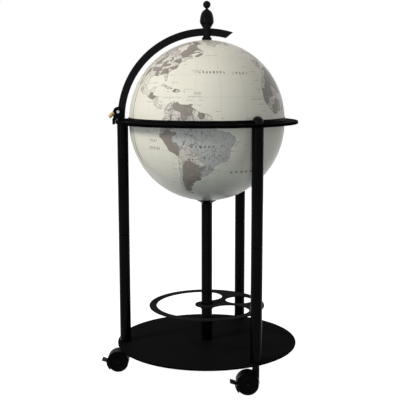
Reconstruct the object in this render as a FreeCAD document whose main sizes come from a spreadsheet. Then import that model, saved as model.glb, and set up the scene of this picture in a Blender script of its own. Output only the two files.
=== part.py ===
import FreeCAD, Part
import math
import os
import Sketcher
from FreeCAD import Placement, Rotation, Vector

# Floor globe bar, millimetres, +Z up. The origin is on the floor under the globe's axis.
# The lid's hinge and the left leg lie on -X; the other two legs follow at equal angles.

# Driving sizes, in groups by the piece that carries them
SIZES = {
    # Fits shared by all pieces
    "fit_gap": 0.05,
    "run_gap": 0.05,
    "end_gap": 0.3,
    "cut_overrun": 5.0,
    # Globe halves
    "globe_radius": 200.0,
    "globe_wall": 3.0,
    "upper_rise": 3.0,
    "lower_drop": 9.0,
    # Rim bands of the halves
    "band_gap": 0.5,
    "band_overhang": 2.0,
    "band_cover": 5.0,
    "band_lip": 8.0,
    "lower_band_overhang": 1.5,
    "ledge_reach": 10.0,
    "ledge_thickness": 2.5,
    "ledge_width": 6.0,
    # Horizon ring
    "ring_gap": 3.0,
    "ring_width": 32.0,
    "ring_thickness": 8.0,
    "ring_edge": 2.0,
    "stand_rise": 587.0,
    # Legs and centre post
    "leg_inset": 14.0,
    "tube_radius": 14.3,
    "tube_wall": 2.0,
    "leg_lower_length": 289.0,
    "leg_joint_chamfer": 1.2,
    "stud_length": 60.0,
    "plug_length": 30.0,
    "cap_radius": 13.2,
    "cap_skirt": 6.0,
    "cap_dome": 12.0,
    "cap_shank_radius": 5.0,
    "cap_shank_length": 25.0,
    # Base plate
    "plate_overhang": 20.5,
    "plate_thickness": 4.2,
    "plate_edge": 1.2,
    "post_bolt_radius": 5.0,
    "post_bolt_reach": 28.0,
    "post_bolt_flange_radius": 16.0,
    "post_bolt_flange": 2.5,
    "post_bolt_head_radius": 9.0,
    "post_bolt_head": 6.0,
    # Bottle rack
    "rack_rise": 97.0,
    "rack_radius": 153.0,
    "rack_thickness": 3.0,
    "rack_edge": 1.2,
    "rack_rim": 19.0,
    "rack_hub_radius": 31.0,
    "rack_hole_radius": 38.0,
    "rack_hole_edge": 17.0,
    "rack_hole_azimuth": 22.0,
    "rack_slot_offset": 70.0,
    "rack_collar_wall": 2.6,
    "rack_collar_height": 8.0,
    "set_screw_radius": 2.5,
    "set_screw_stand": 1.5,
    # Pivot under the lower half
    "seat_height": 8.0,
    "seat_radius": 26.0,
    "seat_lip": 1.8,
    "seat_gap": 0.4,
    "seat_recess": 4.0,
    "spindle_radius": 6.0,
    "neck_radius": 12.0,
    "south_hub_radius": 24.0,
    "south_hub_height": 12.0,
    "south_hub_chamfer": 2.0,
    "nut_height": 8.0,
    "nut_width": 10.0,
    "spindle_stand": 4.0,
    # Serving tray and bottle wells
    "tray_flange": 2.5,
    "tray_wall": 3.0,
    "tray_depth": 36.0,
    "tray_round": 8.0,
    "tray_flange_reach": 6.0,
    "well_radius": 45.0,
    "well_wall": 2.0,
    "well_lip": 4.0,
    "well_lip_thickness": 2.0,
    "well_room": 20.0,
    "well_round": 6.0,
    "well_gap": 9.4,
    # Meridian arc
    "arc_gap": 10.6,
    "arc_width": 18.8,
    "arc_thickness": 8.0,
    "arc_outer_tip": 17.0,
    "arc_inner_tip": 13.4,
    "boss_radius": 9.7,
    "boss_stand": 13.1,
    "rib_stand": 0.5,
    "rib_reach": 17.2,
    "rib_thickness": 5.0,
    "eye_radius": 8.5,
    # Pole rod, hub and collar
    "rod_radius": 5.0,
    "rod_stand": 22.0,
    "rod_tail": 3.0,
    "north_neck_radius": 9.0,
    "north_hub_radius": 20.0,
    "north_hub_height": 10.0,
    "collar_height": 7.0,
    "collar_radius": 12.7,
    "collar_round": 3.0,
    "pole_nut_width": 9.0,
    # Finial
    "finial_foot_radius": 17.3,
    "finial_lip": 1.8,
    "finial_radius": 17.95,
    "finial_belly_rise": 20.2,
    "finial_belly_radius": 14.9,
    "finial_belly_round": 68.4,
    "finial_crown_rise": 11.9,
    "finial_crown_radius": 4.4,
    "finial_crown_round": 19.3,
    "finial_neck_radius": 2.6,
    "finial_neck_rise": 2.2,
    "finial_ball_radius": 9.8,
    # Hinge bracket, pin and stop peg
    "pin_inset": 1.4,
    "pin_rise": 22.0,
    "pin_radius": 3.0,
    "pin_head_radius": 3.8,
    "pin_head": 2.2,
    "cheek_radius": 12.5,
    "cheek_thickness": 5.0,
    "slot_gap": 0.4,
    "bracket_base": 5.0,
    "bracket_foot_half_width": 13.0,
    "bracket_outer_step": 2.0,
    "bracket_inner_gap": 1.0,
    "apron_drop": 10.0,
    "apron_gap": 0.4,
    "wall_drop": 5.0,
    "eye_gap": 0.5,
    "bolt_head_radius": 8.5,
    "bolt_head": 3.5,
    "bolt_reach": 25.0,
    "side_screw_radius": 1.5,
    "side_screw_head_radius": 2.2,
    "side_screw_head": 1.0,
    "side_screw_length": 9.0,
    "side_screw_offset": 2.5,
    "peg_radius": 4.7,
    "peg_length": 17.0,
    "peg_end_round": 3.0,
    "peg_out": 11.1,
    "peg_down": 2.1,
    "peg_azimuth": 226.0,
    # Casters
    "wheel_radius": 27.5,
    "wheel_width": 13.0,
    "wheel_round": 4.0,
    "wheel_recess": 2.5,
    "wheel_rim": 7.5,
    "wheel_hub_radius": 8.0,
    "wheel_gap": 0.5,
    "axle_radius": 3.0,
    "axle_inset": 0.5,
    "caster_trail": 20.0,
    "caster_trail_azimuth": 176.0,
    "hood_gap": 0.6,
    "hood_wall": 1.4,
    "hood_side": 0.5,
    "hood_skirt": 4.0,
    "web_half": 4.5,
    "web_inset": 3.0,
    "boss_drop": 27.5,
    "caster_boss_radius": 9.0,
    "caster_boss_rise": 8.5,
    "swivel_gap": 0.5,
    "stem_radius": 5.5,
    "stem_seat": 13.0,
    "stem_reach": 26.0,
    "stem_chamfer": 1.0,
    "socket_drop": 9.3,
    "socket_flange": 2.5,
    "socket_flange_radius": 14.0,
    # Brake pedals
    "brake_pivot_reach": 21.0,
    "brake_pivot_azimuth": -5.0,
    "brake_pivot_radius": 2.0,
    "brake_tongue_half": 1.5,
    "brake_slot_half": 1.9,
    "brake_eye_radius": 4.0,
    "brake_slot_height": 5.5,
    "brake_gap": 1.8,
    "brake_plate": 2.5,
    "brake_plate_low": -45.0,
    "brake_plate_high": 2.0,
    "brake_half_width": 12.0,
    "brake_tab_length": 14.2,
    "brake_tab_tilt": 18.0,
    "brake_tab_thickness": 3.0,
    "brake_trunnion_gap": 0.2,
}

FULL_TURN = 360.0
LEGS = ("left", "front", "back")
LEG_AZIMUTHS = {leg: FULL_TURN / 2 + FULL_TURN / len(LEGS) * turn for turn, leg in enumerate(LEGS)}
CAPPED_LEGS = ("front", "back")
WELL_COUNT = 3

doc = FreeCAD.newDocument("globe_bar")
sheet = doc.addObject("Spreadsheet::Sheet", "Sizes")
for row, (alias, number) in enumerate(SIZES.items(), start=1):
    sheet.set(f"A{row}", alias)
    sheet.set(f"B{row}", str(number))
    sheet.setAlias(f"B{row}", alias)
doc.recompute()

subparts = []


class Dim:
    """A size: its value now, and the expression that ties it to the sheet."""

    def __init__(self, value, text):
        self.value = value
        self.text = text

    def __add__(self, other):
        other = as_dim(other)
        return Dim(self.value + other.value, f"({self.text} + {other.text})")

    def __radd__(self, other):
        return as_dim(other) + self

    def __sub__(self, other):
        other = as_dim(other)
        return Dim(self.value - other.value, f"({self.text} - {other.text})")

    def __rsub__(self, other):
        return as_dim(other) - self

    def __mul__(self, other):
        other = as_dim(other)
        return Dim(self.value * other.value, f"({self.text} * {other.text})")

    def __rmul__(self, other):
        return as_dim(other) * self

    def __truediv__(self, other):
        other = as_dim(other)
        return Dim(self.value / other.value, f"({self.text} / {other.text})")

    def __neg__(self):
        return Dim(-self.value, f"(0 - {self.text})")


class Sheet:
    """Reads the sheet's sizes by name."""

    def __getattr__(self, alias):
        return Dim(float(sheet.get(alias)), f"{sheet.Name}.{alias}")


S = Sheet()


def as_dim(number):
    if isinstance(number, Dim):
        return number
    return Dim(float(number), repr(float(number)))


def cosine(degrees):
    degrees = as_dim(degrees)
    return Dim(math.cos(math.radians(degrees.value)), f"cos({degrees.text})")


def sine(degrees):
    degrees = as_dim(degrees)
    return Dim(math.sin(math.radians(degrees.value)), f"sin({degrees.text})")


def leg_of(hypotenuse, side):
    """The other side of a right triangle."""
    squares = hypotenuse * hypotenuse - side * side
    return Dim(math.sqrt(squares.value), f"sqrt({squares.text})")


def is_zero(dim):
    return dim.value == 0 and "Sizes" not in dim.text


def bind(thing, prop, dim):
    """Ties a property to the sheet."""
    if "Sizes" in dim.text:
        thing.setExpression(prop, dim.text)


def place(thing, x=0, y=0, z=0, rotation=Rotation()):
    """Puts a piece at a place that follows the sheet."""
    x, y, z = as_dim(x), as_dim(y), as_dim(z)
    thing.Placement = Placement(Vector(x.value, y.value, z.value), rotation)
    bind(thing, "Placement.Base.x", x)
    bind(thing, "Placement.Base.y", y)
    bind(thing, "Placement.Base.z", z)
    return thing


def keep(thing):
    """Marks a finished sub-part."""
    subparts.append(thing)
    return thing


def cylinder(name, radius, height, x=0, y=0, z=0, along="z", start=0.0, sweep=FULL_TURN):
    """A cylinder from (x, y, z) along z or x, or centred on (x, y, z) along y."""
    solid = doc.addObject("Part::Cylinder", name)
    radius, height, sweep = as_dim(radius), as_dim(height), as_dim(sweep)
    solid.Radius = radius.value
    solid.Height = height.value
    solid.Angle = sweep.value
    bind(solid, "Radius", radius)
    bind(solid, "Height", height)
    bind(solid, "Angle", sweep)
    turn = Rotation(Vector(0, 0, 1), as_dim(start).value)
    if along == "y":
        turn = Rotation(Vector(1, 0, 0), 90) * turn
        y = y + height / 2
    if along == "x":
        turn = Rotation(Vector(0, 1, 0), 90) * turn
    return place(solid, x, y, z, turn)


def block(name, x_span, y_span, z_span):
    """A box between pairs of coordinates."""
    solid = doc.addObject("Part::Box", name)
    for prop, (low, high) in zip(("Length", "Width", "Height"), (x_span, y_span, z_span)):
        length = as_dim(high) - as_dim(low)
        setattr(solid, prop, length.value)
        bind(solid, prop, length)
    return place(solid, x_span[0], y_span[0], z_span[0])


def hexagon(name, width, height, z):
    solid = doc.addObject("Part::Prism", name)
    solid.Polygon = 6
    solid.Circumradius = width.value
    solid.Height = height.value
    bind(solid, "Circumradius", width)
    bind(solid, "Height", height)
    return place(solid, z=z)


def fuse(name, *pieces):
    joined = doc.addObject("Part::MultiFuse", name)
    joined.Shapes = list(pieces)
    joined.Refine = True
    return joined


def cut(name, base, *tools):
    """The base without the tools."""
    result = doc.addObject("Part::Cut", name)
    result.Base = base
    result.Tool = tools[0] if len(tools) == 1 else fuse(name + "_tools", *tools)
    return result


def common(name, first, second):
    result = doc.addObject("Part::Common", name)
    result.Base = first
    result.Tool = second
    return result


def group(name, pieces):
    """Several like solids in one node."""
    bundle = doc.addObject("Part::Compound", name)
    bundle.Links = pieces
    return bundle


def arc_between(start, end, radius):
    """A circle's arc; a positive radius turns anticlockwise from start to end."""
    middle = (start + end) / 2
    half = (end - start) / 2
    rise = math.sqrt(max(radius * radius - half.Length ** 2, 0.0))
    side = Vector(-half.y, half.x, 0)
    side.normalize()
    centre = middle + side * math.copysign(rise, radius)
    first, last = (start, end) if radius > 0 else (end, start)
    angles = [math.atan2(p.y - centre.y, p.x - centre.x) for p in (first, last)]
    circle = Part.Circle(centre, Vector(0, 0, 1), abs(radius))
    return Part.ArcOfCircle(circle, angles[0], angles[1])


def outline(body, role, points):
    """A closed sketch. A point is (x, y), or (x, y, radius) where an arc leads to it."""
    sketch = body.newObject("Sketcher::SketchObject", body.Name + "_outline")
    plane = next(f for f in body.Origin.OriginFeatures if f.Role == role)
    sketch.AttachmentSupport = (plane, "")
    sketch.MapMode = "FlatFace"
    corners = [(as_dim(p[0]), as_dim(p[1])) for p in points]
    spots = [Vector(x.value, y.value, 0) for x, y in corners]
    ends = []
    for index, point in enumerate(points):
        if len(point) == 2:
            edge = sketch.addGeometry(Part.LineSegment(spots[index - 1], spots[index]))
            ends.append((edge, 1, 2))
            continue
        bend = as_dim(point[2])
        edge = sketch.addGeometry(arc_between(spots[index - 1], spots[index], bend.value))
        ends.append((edge, 1, 2) if bend.value > 0 else (edge, 2, 1))
        row = sketch.addConstraint(Sketcher.Constraint("Radius", edge, abs(bend.value)))
        bind(sketch, f"Constraints[{row}]", bend if bend.value > 0 else -bend)
    for index, (x, y) in enumerate(corners):
        edge, first, last = ends[index]
        following = ends[(index + 1) % len(ends)]
        sketch.addConstraint(Sketcher.Constraint("Coincident", edge, last, following[0], following[1]))
        for kind, axis, dim in (("DistanceX", -2, x), ("DistanceY", -1, y)):
            if is_zero(dim):
                sketch.addConstraint(Sketcher.Constraint("PointOnObject", edge, last, axis))
                continue
            row = sketch.addConstraint(Sketcher.Constraint(kind, edge, last, dim.value))
            bind(sketch, f"Constraints[{row}]", dim)
    return sketch


def turned(name, points):
    """A body turned about Z from an outline of (radius, height) points."""
    body = doc.addObject("PartDesign::Body", name)
    sketch = outline(body, "XZ_Plane", points)
    spin = body.newObject("PartDesign::Revolution", name + "_turn")
    spin.Profile = sketch
    spin.ReferenceAxis = (sketch, ["V_Axis"])
    spin.Angle = FULL_TURN
    body.Tip = spin
    return body


def upright(name, points, thickness):
    """A flat bar in the XZ plane, centred on it."""
    body = doc.addObject("PartDesign::Body", name)
    sketch = outline(body, "XZ_Plane", points)
    pad = body.newObject("PartDesign::Pad", name + "_pad")
    pad.Profile = sketch
    pad.Length = thickness.value
    pad.SideType = "Symmetric"
    bind(pad, "Length", thickness)
    body.Tip = pad
    return body


def tube(name, outer, inner, bottom, top):
    """A plain turned tube."""
    return turned(name, [(inner, bottom), (outer, bottom), (outer, top), (inner, top)])


def disc(name, radius, bottom, top, edge):
    """A flat round plate with its rim rounded above and below."""
    return turned(name, [
        (0, bottom),
        (radius - edge, bottom),
        (radius, bottom + edge, edge),
        (radius, top - edge),
        (radius - edge, top, edge),
        (0, top),
    ])


def on_leg(thing, azimuth, z=0):
    """Moves a piece from the axis to a leg."""
    return place(thing, LEG_CIRCLE * cosine(azimuth), LEG_CIRCLE * sine(azimuth), z)


# Heights and radii that several pieces share
AXLE_HEIGHT = S.wheel_radius
HOOD_RADIUS = S.wheel_radius + S.hood_gap + S.hood_wall
HOOD_BORE = S.wheel_radius + S.hood_gap
CASTER_BOSS_TOP = AXLE_HEIGHT + HOOD_RADIUS + S.caster_boss_rise
SOCKET_BOTTOM = CASTER_BOSS_TOP + S.swivel_gap
PLATE_BOTTOM = SOCKET_BOTTOM + S.socket_drop + S.socket_flange
PLATE_TOP = PLATE_BOTTOM + S.plate_thickness
RACK_TOP = PLATE_TOP + S.rack_rise
RACK_BOTTOM = RACK_TOP - S.rack_thickness
RING_TOP = PLATE_TOP + S.stand_rise
RING_BOTTOM = RING_TOP - S.ring_thickness
RING_BORE = S.globe_radius + S.ring_gap
RING_RADIUS = RING_BORE + S.ring_width
LEG_CIRCLE = RING_BORE + S.leg_inset
LEG_JOINT = PLATE_TOP + S.leg_lower_length
TUBE_BORE = S.tube_radius - S.tube_wall
PLUG_RADIUS = TUBE_BORE - S.fit_gap
SOCKET_RADIUS = S.caster_boss_radius
UPPER_EQUATOR = RING_TOP + S.upper_rise
LOWER_EQUATOR = RING_TOP - S.lower_drop
GLOBE_BORE = S.globe_radius - S.globe_wall
LINING = GLOBE_BORE - S.fit_gap
SOUTH_POLE = LOWER_EQUATOR - S.globe_radius
NORTH_POLE = UPPER_EQUATOR + S.globe_radius
POST_TOP = SOUTH_POLE - S.seat_height
RECESS_FLOOR = POST_TOP + S.seat_recess
SOUTH_HUB_TOP = SOUTH_POLE + S.globe_wall + S.south_hub_height
TRAY_TOP = LOWER_EQUATOR + S.ledge_thickness + S.tray_flange
TRAY_FLOOR_TOP = TRAY_TOP - S.tray_depth
LEDGE_RADIUS = S.globe_radius - S.ledge_reach
COLLAR_TOP = NORTH_POLE + S.collar_height
NORTH_HUB_BOTTOM = NORTH_POLE - S.globe_wall - S.north_hub_height
ARC_BORE = S.globe_radius + S.arc_gap
ARC_RADIUS = ARC_BORE + S.arc_width
BOSS_TOP = UPPER_EQUATOR + ARC_RADIUS + S.boss_stand
PIN_X = S.pin_inset - ARC_RADIUS
PIN_Z = RING_TOP + S.pin_rise
BASE_TOP = RING_TOP + S.bracket_base
SLOT_HALF = S.arc_thickness / 2 + S.slot_gap
CHEEK_HALF = SLOT_HALF + S.cheek_thickness


def make_base_plate():
    """Round steel plate at the foot of the stand."""
    blank = disc("plate_blank", LEG_CIRCLE + S.plate_overhang, PLATE_BOTTOM, PLATE_TOP, S.plate_edge)
    drop = PLATE_BOTTOM - S.cut_overrun
    through = S.plate_thickness + S.cut_overrun * 2
    holes = [cylinder("plate_post_hole", S.post_bolt_radius + S.fit_gap, through, z=drop)]
    for leg, azimuth in LEG_AZIMUTHS.items():
        hole = cylinder(f"plate_hole_{leg}", SOCKET_RADIUS + S.fit_gap, through)
        holes.append(on_leg(hole, azimuth, drop))
    keep(cut("base_plate", blank, *holes))


def make_bottle_rack():
    """Open rack plate on the post: one long round-ended opening and one bottle hole."""
    blank = disc("rack_blank", S.rack_radius, RACK_BOTTOM, RACK_TOP, S.rack_edge)
    drop = RACK_BOTTOM - S.cut_overrun
    through = S.rack_thickness + S.cut_overrun * 2
    bore = cylinder("rack_bore", S.tube_radius + S.fit_gap, through, z=drop)
    slot_outer = S.rack_radius - S.rack_rim
    slot_middle = (slot_outer + S.rack_hub_radius) / 2
    slot_half = (slot_outer - S.rack_hub_radius) / 2
    start = S.rack_hole_azimuth + S.rack_slot_offset
    finish = S.rack_hole_azimuth - S.rack_slot_offset
    sweep = FULL_TURN - S.rack_slot_offset * 2
    sector = cylinder("rack_sector", slot_outer, through, z=drop, start=start, sweep=sweep)
    core = cylinder("rack_core", S.rack_hub_radius, through, z=drop)
    openings = [cut("rack_slot", sector, core), bore]
    for name, azimuth in (("start", start), ("finish", finish)):
        end = cylinder(f"rack_slot_{name}", slot_half, through)
        openings.append(place(end, slot_middle * cosine(azimuth), slot_middle * sine(azimuth), drop))
    hole_circle = S.rack_radius - S.rack_hole_edge - S.rack_hole_radius
    hole = cylinder("rack_hole", S.rack_hole_radius, through)
    place(hole, hole_circle * cosine(S.rack_hole_azimuth), hole_circle * sine(S.rack_hole_azimuth), drop)
    keep(cut("bottle_rack", blank, hole, *openings))


def make_rack_collar():
    """Clamp collar under the rack, with its set screw against the post."""
    bore = S.tube_radius + S.fit_gap
    outer = bore + S.rack_collar_wall
    bottom = RACK_BOTTOM - S.rack_collar_height
    middle = RACK_BOTTOM - S.rack_collar_height / 2
    ring = tube("collar_ring", outer, bore, bottom, RACK_BOTTOM)
    reach = S.rack_collar_wall + S.set_screw_stand
    hole = cylinder("collar_hole", S.set_screw_radius + S.fit_gap, reach, bore, 0, middle, along="x")
    keep(cut("rack_collar", ring, hole))
    keep(cylinder("rack_set_screw", S.set_screw_radius, reach, bore, 0, middle, along="x"))


def make_centre_post():
    """Tube from the plate up to the globe, its foot plug and the bolt through the plate."""
    keep(tube("centre_post", S.tube_radius, TUBE_BORE, PLATE_TOP, POST_TOP))
    bore = S.post_bolt_radius + S.fit_gap
    keep(tube("post_foot_plug", PLUG_RADIUS, bore, PLATE_TOP, PLATE_TOP + S.plug_length))
    flange_bottom = PLATE_BOTTOM - S.post_bolt_flange
    head_bottom = flange_bottom - S.post_bolt_head
    tip = PLATE_TOP + S.post_bolt_reach
    keep(turned("post_foot_bolt", [
        (0, head_bottom),
        (S.post_bolt_head_radius, head_bottom),
        (S.post_bolt_head_radius, flange_bottom),
        (S.post_bolt_flange_radius, flange_bottom),
        (S.post_bolt_flange_radius, PLATE_BOTTOM),
        (S.post_bolt_radius, PLATE_BOTTOM),
        (S.post_bolt_radius, tip),
        (0, tip),
    ]))


def make_legs():
    """Two tubes per leg, screwed end to end, with the plugs that close them."""
    chamfer = S.leg_joint_chamfer
    studs, feet, tops, sockets = [], [], [], []
    for leg, azimuth in LEG_AZIMUTHS.items():
        lower = turned(f"leg_lower_{leg}", [
            (TUBE_BORE, PLATE_TOP),
            (S.tube_radius, PLATE_TOP),
            (S.tube_radius, LEG_JOINT - chamfer),
            (S.tube_radius - chamfer, LEG_JOINT),
            (TUBE_BORE, LEG_JOINT),
        ])
        upper = turned(f"leg_upper_{leg}", [
            (TUBE_BORE, LEG_JOINT),
            (S.tube_radius - chamfer, LEG_JOINT),
            (S.tube_radius, LEG_JOINT + chamfer),
            (S.tube_radius, RING_BOTTOM),
            (TUBE_BORE, RING_BOTTOM),
        ])
        keep(on_leg(lower, azimuth))
        keep(on_leg(upper, azimuth))
        stud = cylinder(f"stud_{leg}", PLUG_RADIUS, S.stud_length)
        studs.append(on_leg(stud, azimuth, LEG_JOINT - S.stud_length / 2))
        foot = tube(f"foot_insert_{leg}", PLUG_RADIUS, SOCKET_RADIUS + S.fit_gap,
                    PLATE_TOP, PLATE_TOP + S.plug_length)
        feet.append(on_leg(foot, azimuth))
        top = tube(f"top_plug_{leg}", PLUG_RADIUS, S.cap_shank_radius + S.fit_gap,
                   RING_BOTTOM - S.plug_length, RING_BOTTOM)
        tops.append(on_leg(top, azimuth))
        sockets.append(on_leg(make_caster_socket(leg), azimuth))
    keep(group("leg_joint_studs", studs))
    keep(group("leg_foot_inserts", feet))
    keep(group("leg_top_plugs", tops))
    keep(group("caster_sockets", sockets))


def make_caster_socket(leg):
    """Flanged sleeve from under the plate into the leg, which takes a caster's stem."""
    bore = S.stem_radius + S.run_gap
    flange_bottom = PLATE_BOTTOM - S.socket_flange
    top = PLATE_TOP + S.plug_length
    return turned(f"socket_{leg}", [
        (bore, SOCKET_BOTTOM),
        (SOCKET_RADIUS, SOCKET_BOTTOM),
        (SOCKET_RADIUS, flange_bottom),
        (S.socket_flange_radius, flange_bottom),
        (S.socket_flange_radius, PLATE_BOTTOM),
        (SOCKET_RADIUS, PLATE_BOTTOM),
        (SOCKET_RADIUS, top),
        (bore, top),
    ])


def make_horizon_ring():
    """Flat ring round the globe, screwed to the three legs."""
    edge = S.ring_edge
    blank = turned("ring_blank", [
        (RING_BORE, RING_BOTTOM),
        (RING_RADIUS - edge, RING_BOTTOM),
        (RING_RADIUS, RING_BOTTOM + edge, edge),
        (RING_RADIUS, RING_TOP - edge),
        (RING_RADIUS - edge, RING_TOP, edge),
        (RING_BORE, RING_TOP),
    ])
    through = S.ring_thickness + S.cut_overrun * 2
    holes = []
    for leg, azimuth in LEG_AZIMUTHS.items():
        hole = cylinder(f"ring_hole_{leg}", S.cap_shank_radius + S.fit_gap, through)
        holes.append(on_leg(hole, azimuth, RING_BOTTOM - S.cut_overrun))
    keep(cut("horizon_ring", blank, *holes))


def make_leg_caps():
    """Domed cap screws that hold the ring on the two free legs."""
    shoulder = RING_TOP + S.cap_skirt
    dome_round = (S.cap_radius * S.cap_radius + S.cap_dome * S.cap_dome) / (S.cap_dome * 2)
    tip = RING_TOP - S.cap_shank_length
    for leg in CAPPED_LEGS:
        cap = turned(f"leg_cap_{leg}", [
            (0, tip),
            (S.cap_shank_radius, tip),
            (S.cap_shank_radius, RING_TOP),
            (S.cap_radius, RING_TOP),
            (S.cap_radius, shoulder),
            (0, shoulder + S.cap_dome, dome_round),
        ])
        keep(on_leg(cap, LEG_AZIMUTHS[leg]))


def make_south_pivot():
    """Dished seat on the post, and the spindle and nut that the lower half turns on."""
    bore = S.spindle_radius + S.fit_gap
    dish = S.globe_radius + S.seat_gap
    recess = S.neck_radius + S.seat_gap
    rim_height = LOWER_EQUATOR - leg_of(dish, S.seat_radius)
    keep(turned("south_seat", [
        (bore, POST_TOP),
        (S.tube_radius, POST_TOP),
        (S.seat_radius, rim_height - S.seat_lip),
        (S.seat_radius, rim_height),
        (recess, LOWER_EQUATOR - leg_of(dish, recess), -dish),
        (recess, RECESS_FLOOR),
        (bore, RECESS_FLOOR),
    ]))
    nut_bottom = SOUTH_HUB_TOP + S.end_gap
    tip = nut_bottom + S.nut_height + S.spindle_stand
    foot = POST_TOP - S.plug_length
    keep(turned("pivot_spindle", [
        (0, foot),
        (PLUG_RADIUS, foot),
        (PLUG_RADIUS, POST_TOP),
        (S.spindle_radius, POST_TOP),
        (S.spindle_radius, tip),
        (0, tip),
    ]))
    nut = hexagon("pivot_nut_blank", S.nut_width, S.nut_height, nut_bottom)
    hole = cylinder("pivot_nut_hole", bore, S.nut_height, z=nut_bottom)
    keep(cut("pivot_nut", nut, hole))


def make_lower_half():
    """Lower shell with its rim band and the hub that turns on the spindle."""
    hole = S.neck_radius + S.fit_gap
    keep(turned("lower_shell", [
        (hole, LOWER_EQUATOR - leg_of(S.globe_radius, hole)),
        (S.globe_radius, LOWER_EQUATOR, S.globe_radius),
        (GLOBE_BORE, LOWER_EQUATOR),
        (hole, LOWER_EQUATOR - leg_of(GLOBE_BORE, hole), -GLOBE_BORE),
    ]))
    band_radius = S.globe_radius + S.lower_band_overhang
    band_top = RING_TOP - S.band_gap
    ledge_top = LOWER_EQUATOR + S.ledge_thickness
    ledge_end = LEDGE_RADIUS + S.ledge_width
    keep(turned("lower_rim_band", [
        (LEDGE_RADIUS, LOWER_EQUATOR),
        (band_radius, LOWER_EQUATOR),
        (band_radius, band_top),
        (ledge_end, band_top),
        (ledge_end, ledge_top),
        (LEDGE_RADIUS, ledge_top),
    ]))
    bore = S.spindle_radius + S.run_gap
    neck_bottom = RECESS_FLOOR + S.end_gap
    keep(turned("south_hub", [
        (bore, neck_bottom),
        (S.neck_radius, neck_bottom),
        (S.neck_radius, LOWER_EQUATOR - leg_of(LINING, S.neck_radius)),
        (S.south_hub_radius, LOWER_EQUATOR - leg_of(LINING, S.south_hub_radius), LINING),
        (S.south_hub_radius, SOUTH_HUB_TOP - S.south_hub_chamfer),
        (S.south_hub_radius - S.south_hub_chamfer, SOUTH_HUB_TOP),
        (bore, SOUTH_HUB_TOP),
    ]))


def make_serving_tray():
    """Tray that hangs on the lower rim, with three deep wells for bottles."""
    wall_outer = LEDGE_RADIUS - S.band_gap
    wall_inner = wall_outer - S.tray_wall
    flange_bottom = TRAY_TOP - S.tray_flange
    floor_bottom = TRAY_FLOOR_TOP - S.tray_wall
    outer_round = S.tray_round + S.tray_wall
    flange_radius = wall_outer + S.tray_flange_reach
    blank = turned("tray_blank", [
        (0, floor_bottom),
        (wall_outer - outer_round, floor_bottom),
        (wall_outer, floor_bottom + outer_round, outer_round),
        (wall_outer, flange_bottom),
        (flange_radius, flange_bottom),
        (flange_radius, TRAY_TOP),
        (wall_inner, TRAY_TOP),
        (wall_inner, TRAY_FLOOR_TOP + S.tray_round),
        (wall_inner - S.tray_round, TRAY_FLOOR_TOP, -S.tray_round),
        (0, TRAY_FLOOR_TOP),
    ])
    lip_radius = S.well_radius + S.well_lip
    well_circle = (lip_radius + S.well_gap / 2) / sine(FULL_TURN / WELL_COUNT / 2)
    well_foot = LOWER_EQUATOR - leg_of(GLOBE_BORE - S.well_room, well_circle + S.well_radius)
    depth = TRAY_FLOOR_TOP - well_foot
    through = S.tray_wall + S.cut_overrun * 2
    holes = []
    for turn in range(WELL_COUNT):
        azimuth = FULL_TURN / WELL_COUNT * turn
        number = turn + 1
        x, y = well_circle * cosine(azimuth), well_circle * sine(azimuth)
        hole = cylinder(f"tray_hole_{number}", S.well_radius + S.fit_gap, through)
        holes.append(place(hole, x, y, floor_bottom - S.cut_overrun))
        keep(place(make_bottle_well(number, lip_radius, depth), x, y, TRAY_FLOOR_TOP))
    keep(cut("serving_tray", blank, *holes))


def make_bottle_well(number, lip_radius, depth):
    """A cup whose lip lies on the tray's floor."""
    inner = S.well_radius - S.well_wall
    floor = S.well_wall - depth
    inner_round = S.well_round - S.well_wall
    return turned(f"bottle_well_{number}", [
        (0, -depth),
        (S.well_radius - S.well_round, -depth),
        (S.well_radius, S.well_round - depth, S.well_round),
        (S.well_radius, 0),
        (lip_radius, 0),
        (lip_radius, S.well_lip_thickness),
        (inner, S.well_lip_thickness),
        (inner, floor + inner_round),
        (inner - inner_round, floor, -inner_round),
        (0, floor),
    ])


def make_upper_half():
    """Upper shell with its rim band, and the hub and collar that hang it on the rod."""
    hole = S.north_neck_radius + S.fit_gap
    keep(turned("upper_shell", [
        (S.globe_radius, UPPER_EQUATOR),
        (hole, UPPER_EQUATOR + leg_of(S.globe_radius, hole), S.globe_radius),
        (hole, UPPER_EQUATOR + leg_of(GLOBE_BORE, hole)),
        (GLOBE_BORE, UPPER_EQUATOR, -GLOBE_BORE),
    ]))
    lip = S.globe_radius - S.band_lip
    wall_outer = S.globe_radius + S.band_overhang
    wall_inner = S.globe_radius + S.fit_gap
    band_bottom = RING_TOP + S.band_gap
    band_top = UPPER_EQUATOR + S.band_cover
    keep(turned("upper_rim_band", [
        (lip, band_bottom),
        (wall_outer, band_bottom),
        (wall_outer, band_top),
        (wall_inner, band_top),
        (wall_inner, UPPER_EQUATOR),
        (lip, UPPER_EQUATOR),
    ]))
    bore = S.rod_radius + S.run_gap
    keep(turned("north_hub", [
        (bore, NORTH_HUB_BOTTOM),
        (S.north_hub_radius, NORTH_HUB_BOTTOM),
        (S.north_hub_radius, UPPER_EQUATOR + leg_of(LINING, S.north_hub_radius)),
        (S.north_neck_radius, UPPER_EQUATOR + leg_of(LINING, S.north_neck_radius), LINING),
        (S.north_neck_radius, COLLAR_TOP),
        (bore, COLLAR_TOP),
    ]))
    skin = S.globe_radius + S.fit_gap
    keep(turned("north_collar", [
        (hole, UPPER_EQUATOR + leg_of(skin, hole)),
        (S.collar_radius, UPPER_EQUATOR + leg_of(skin, S.collar_radius), -skin),
        (S.collar_radius, COLLAR_TOP - S.collar_round),
        (S.collar_radius - S.collar_round, COLLAR_TOP, S.collar_round),
        (hole, COLLAR_TOP),
    ]))


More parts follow.
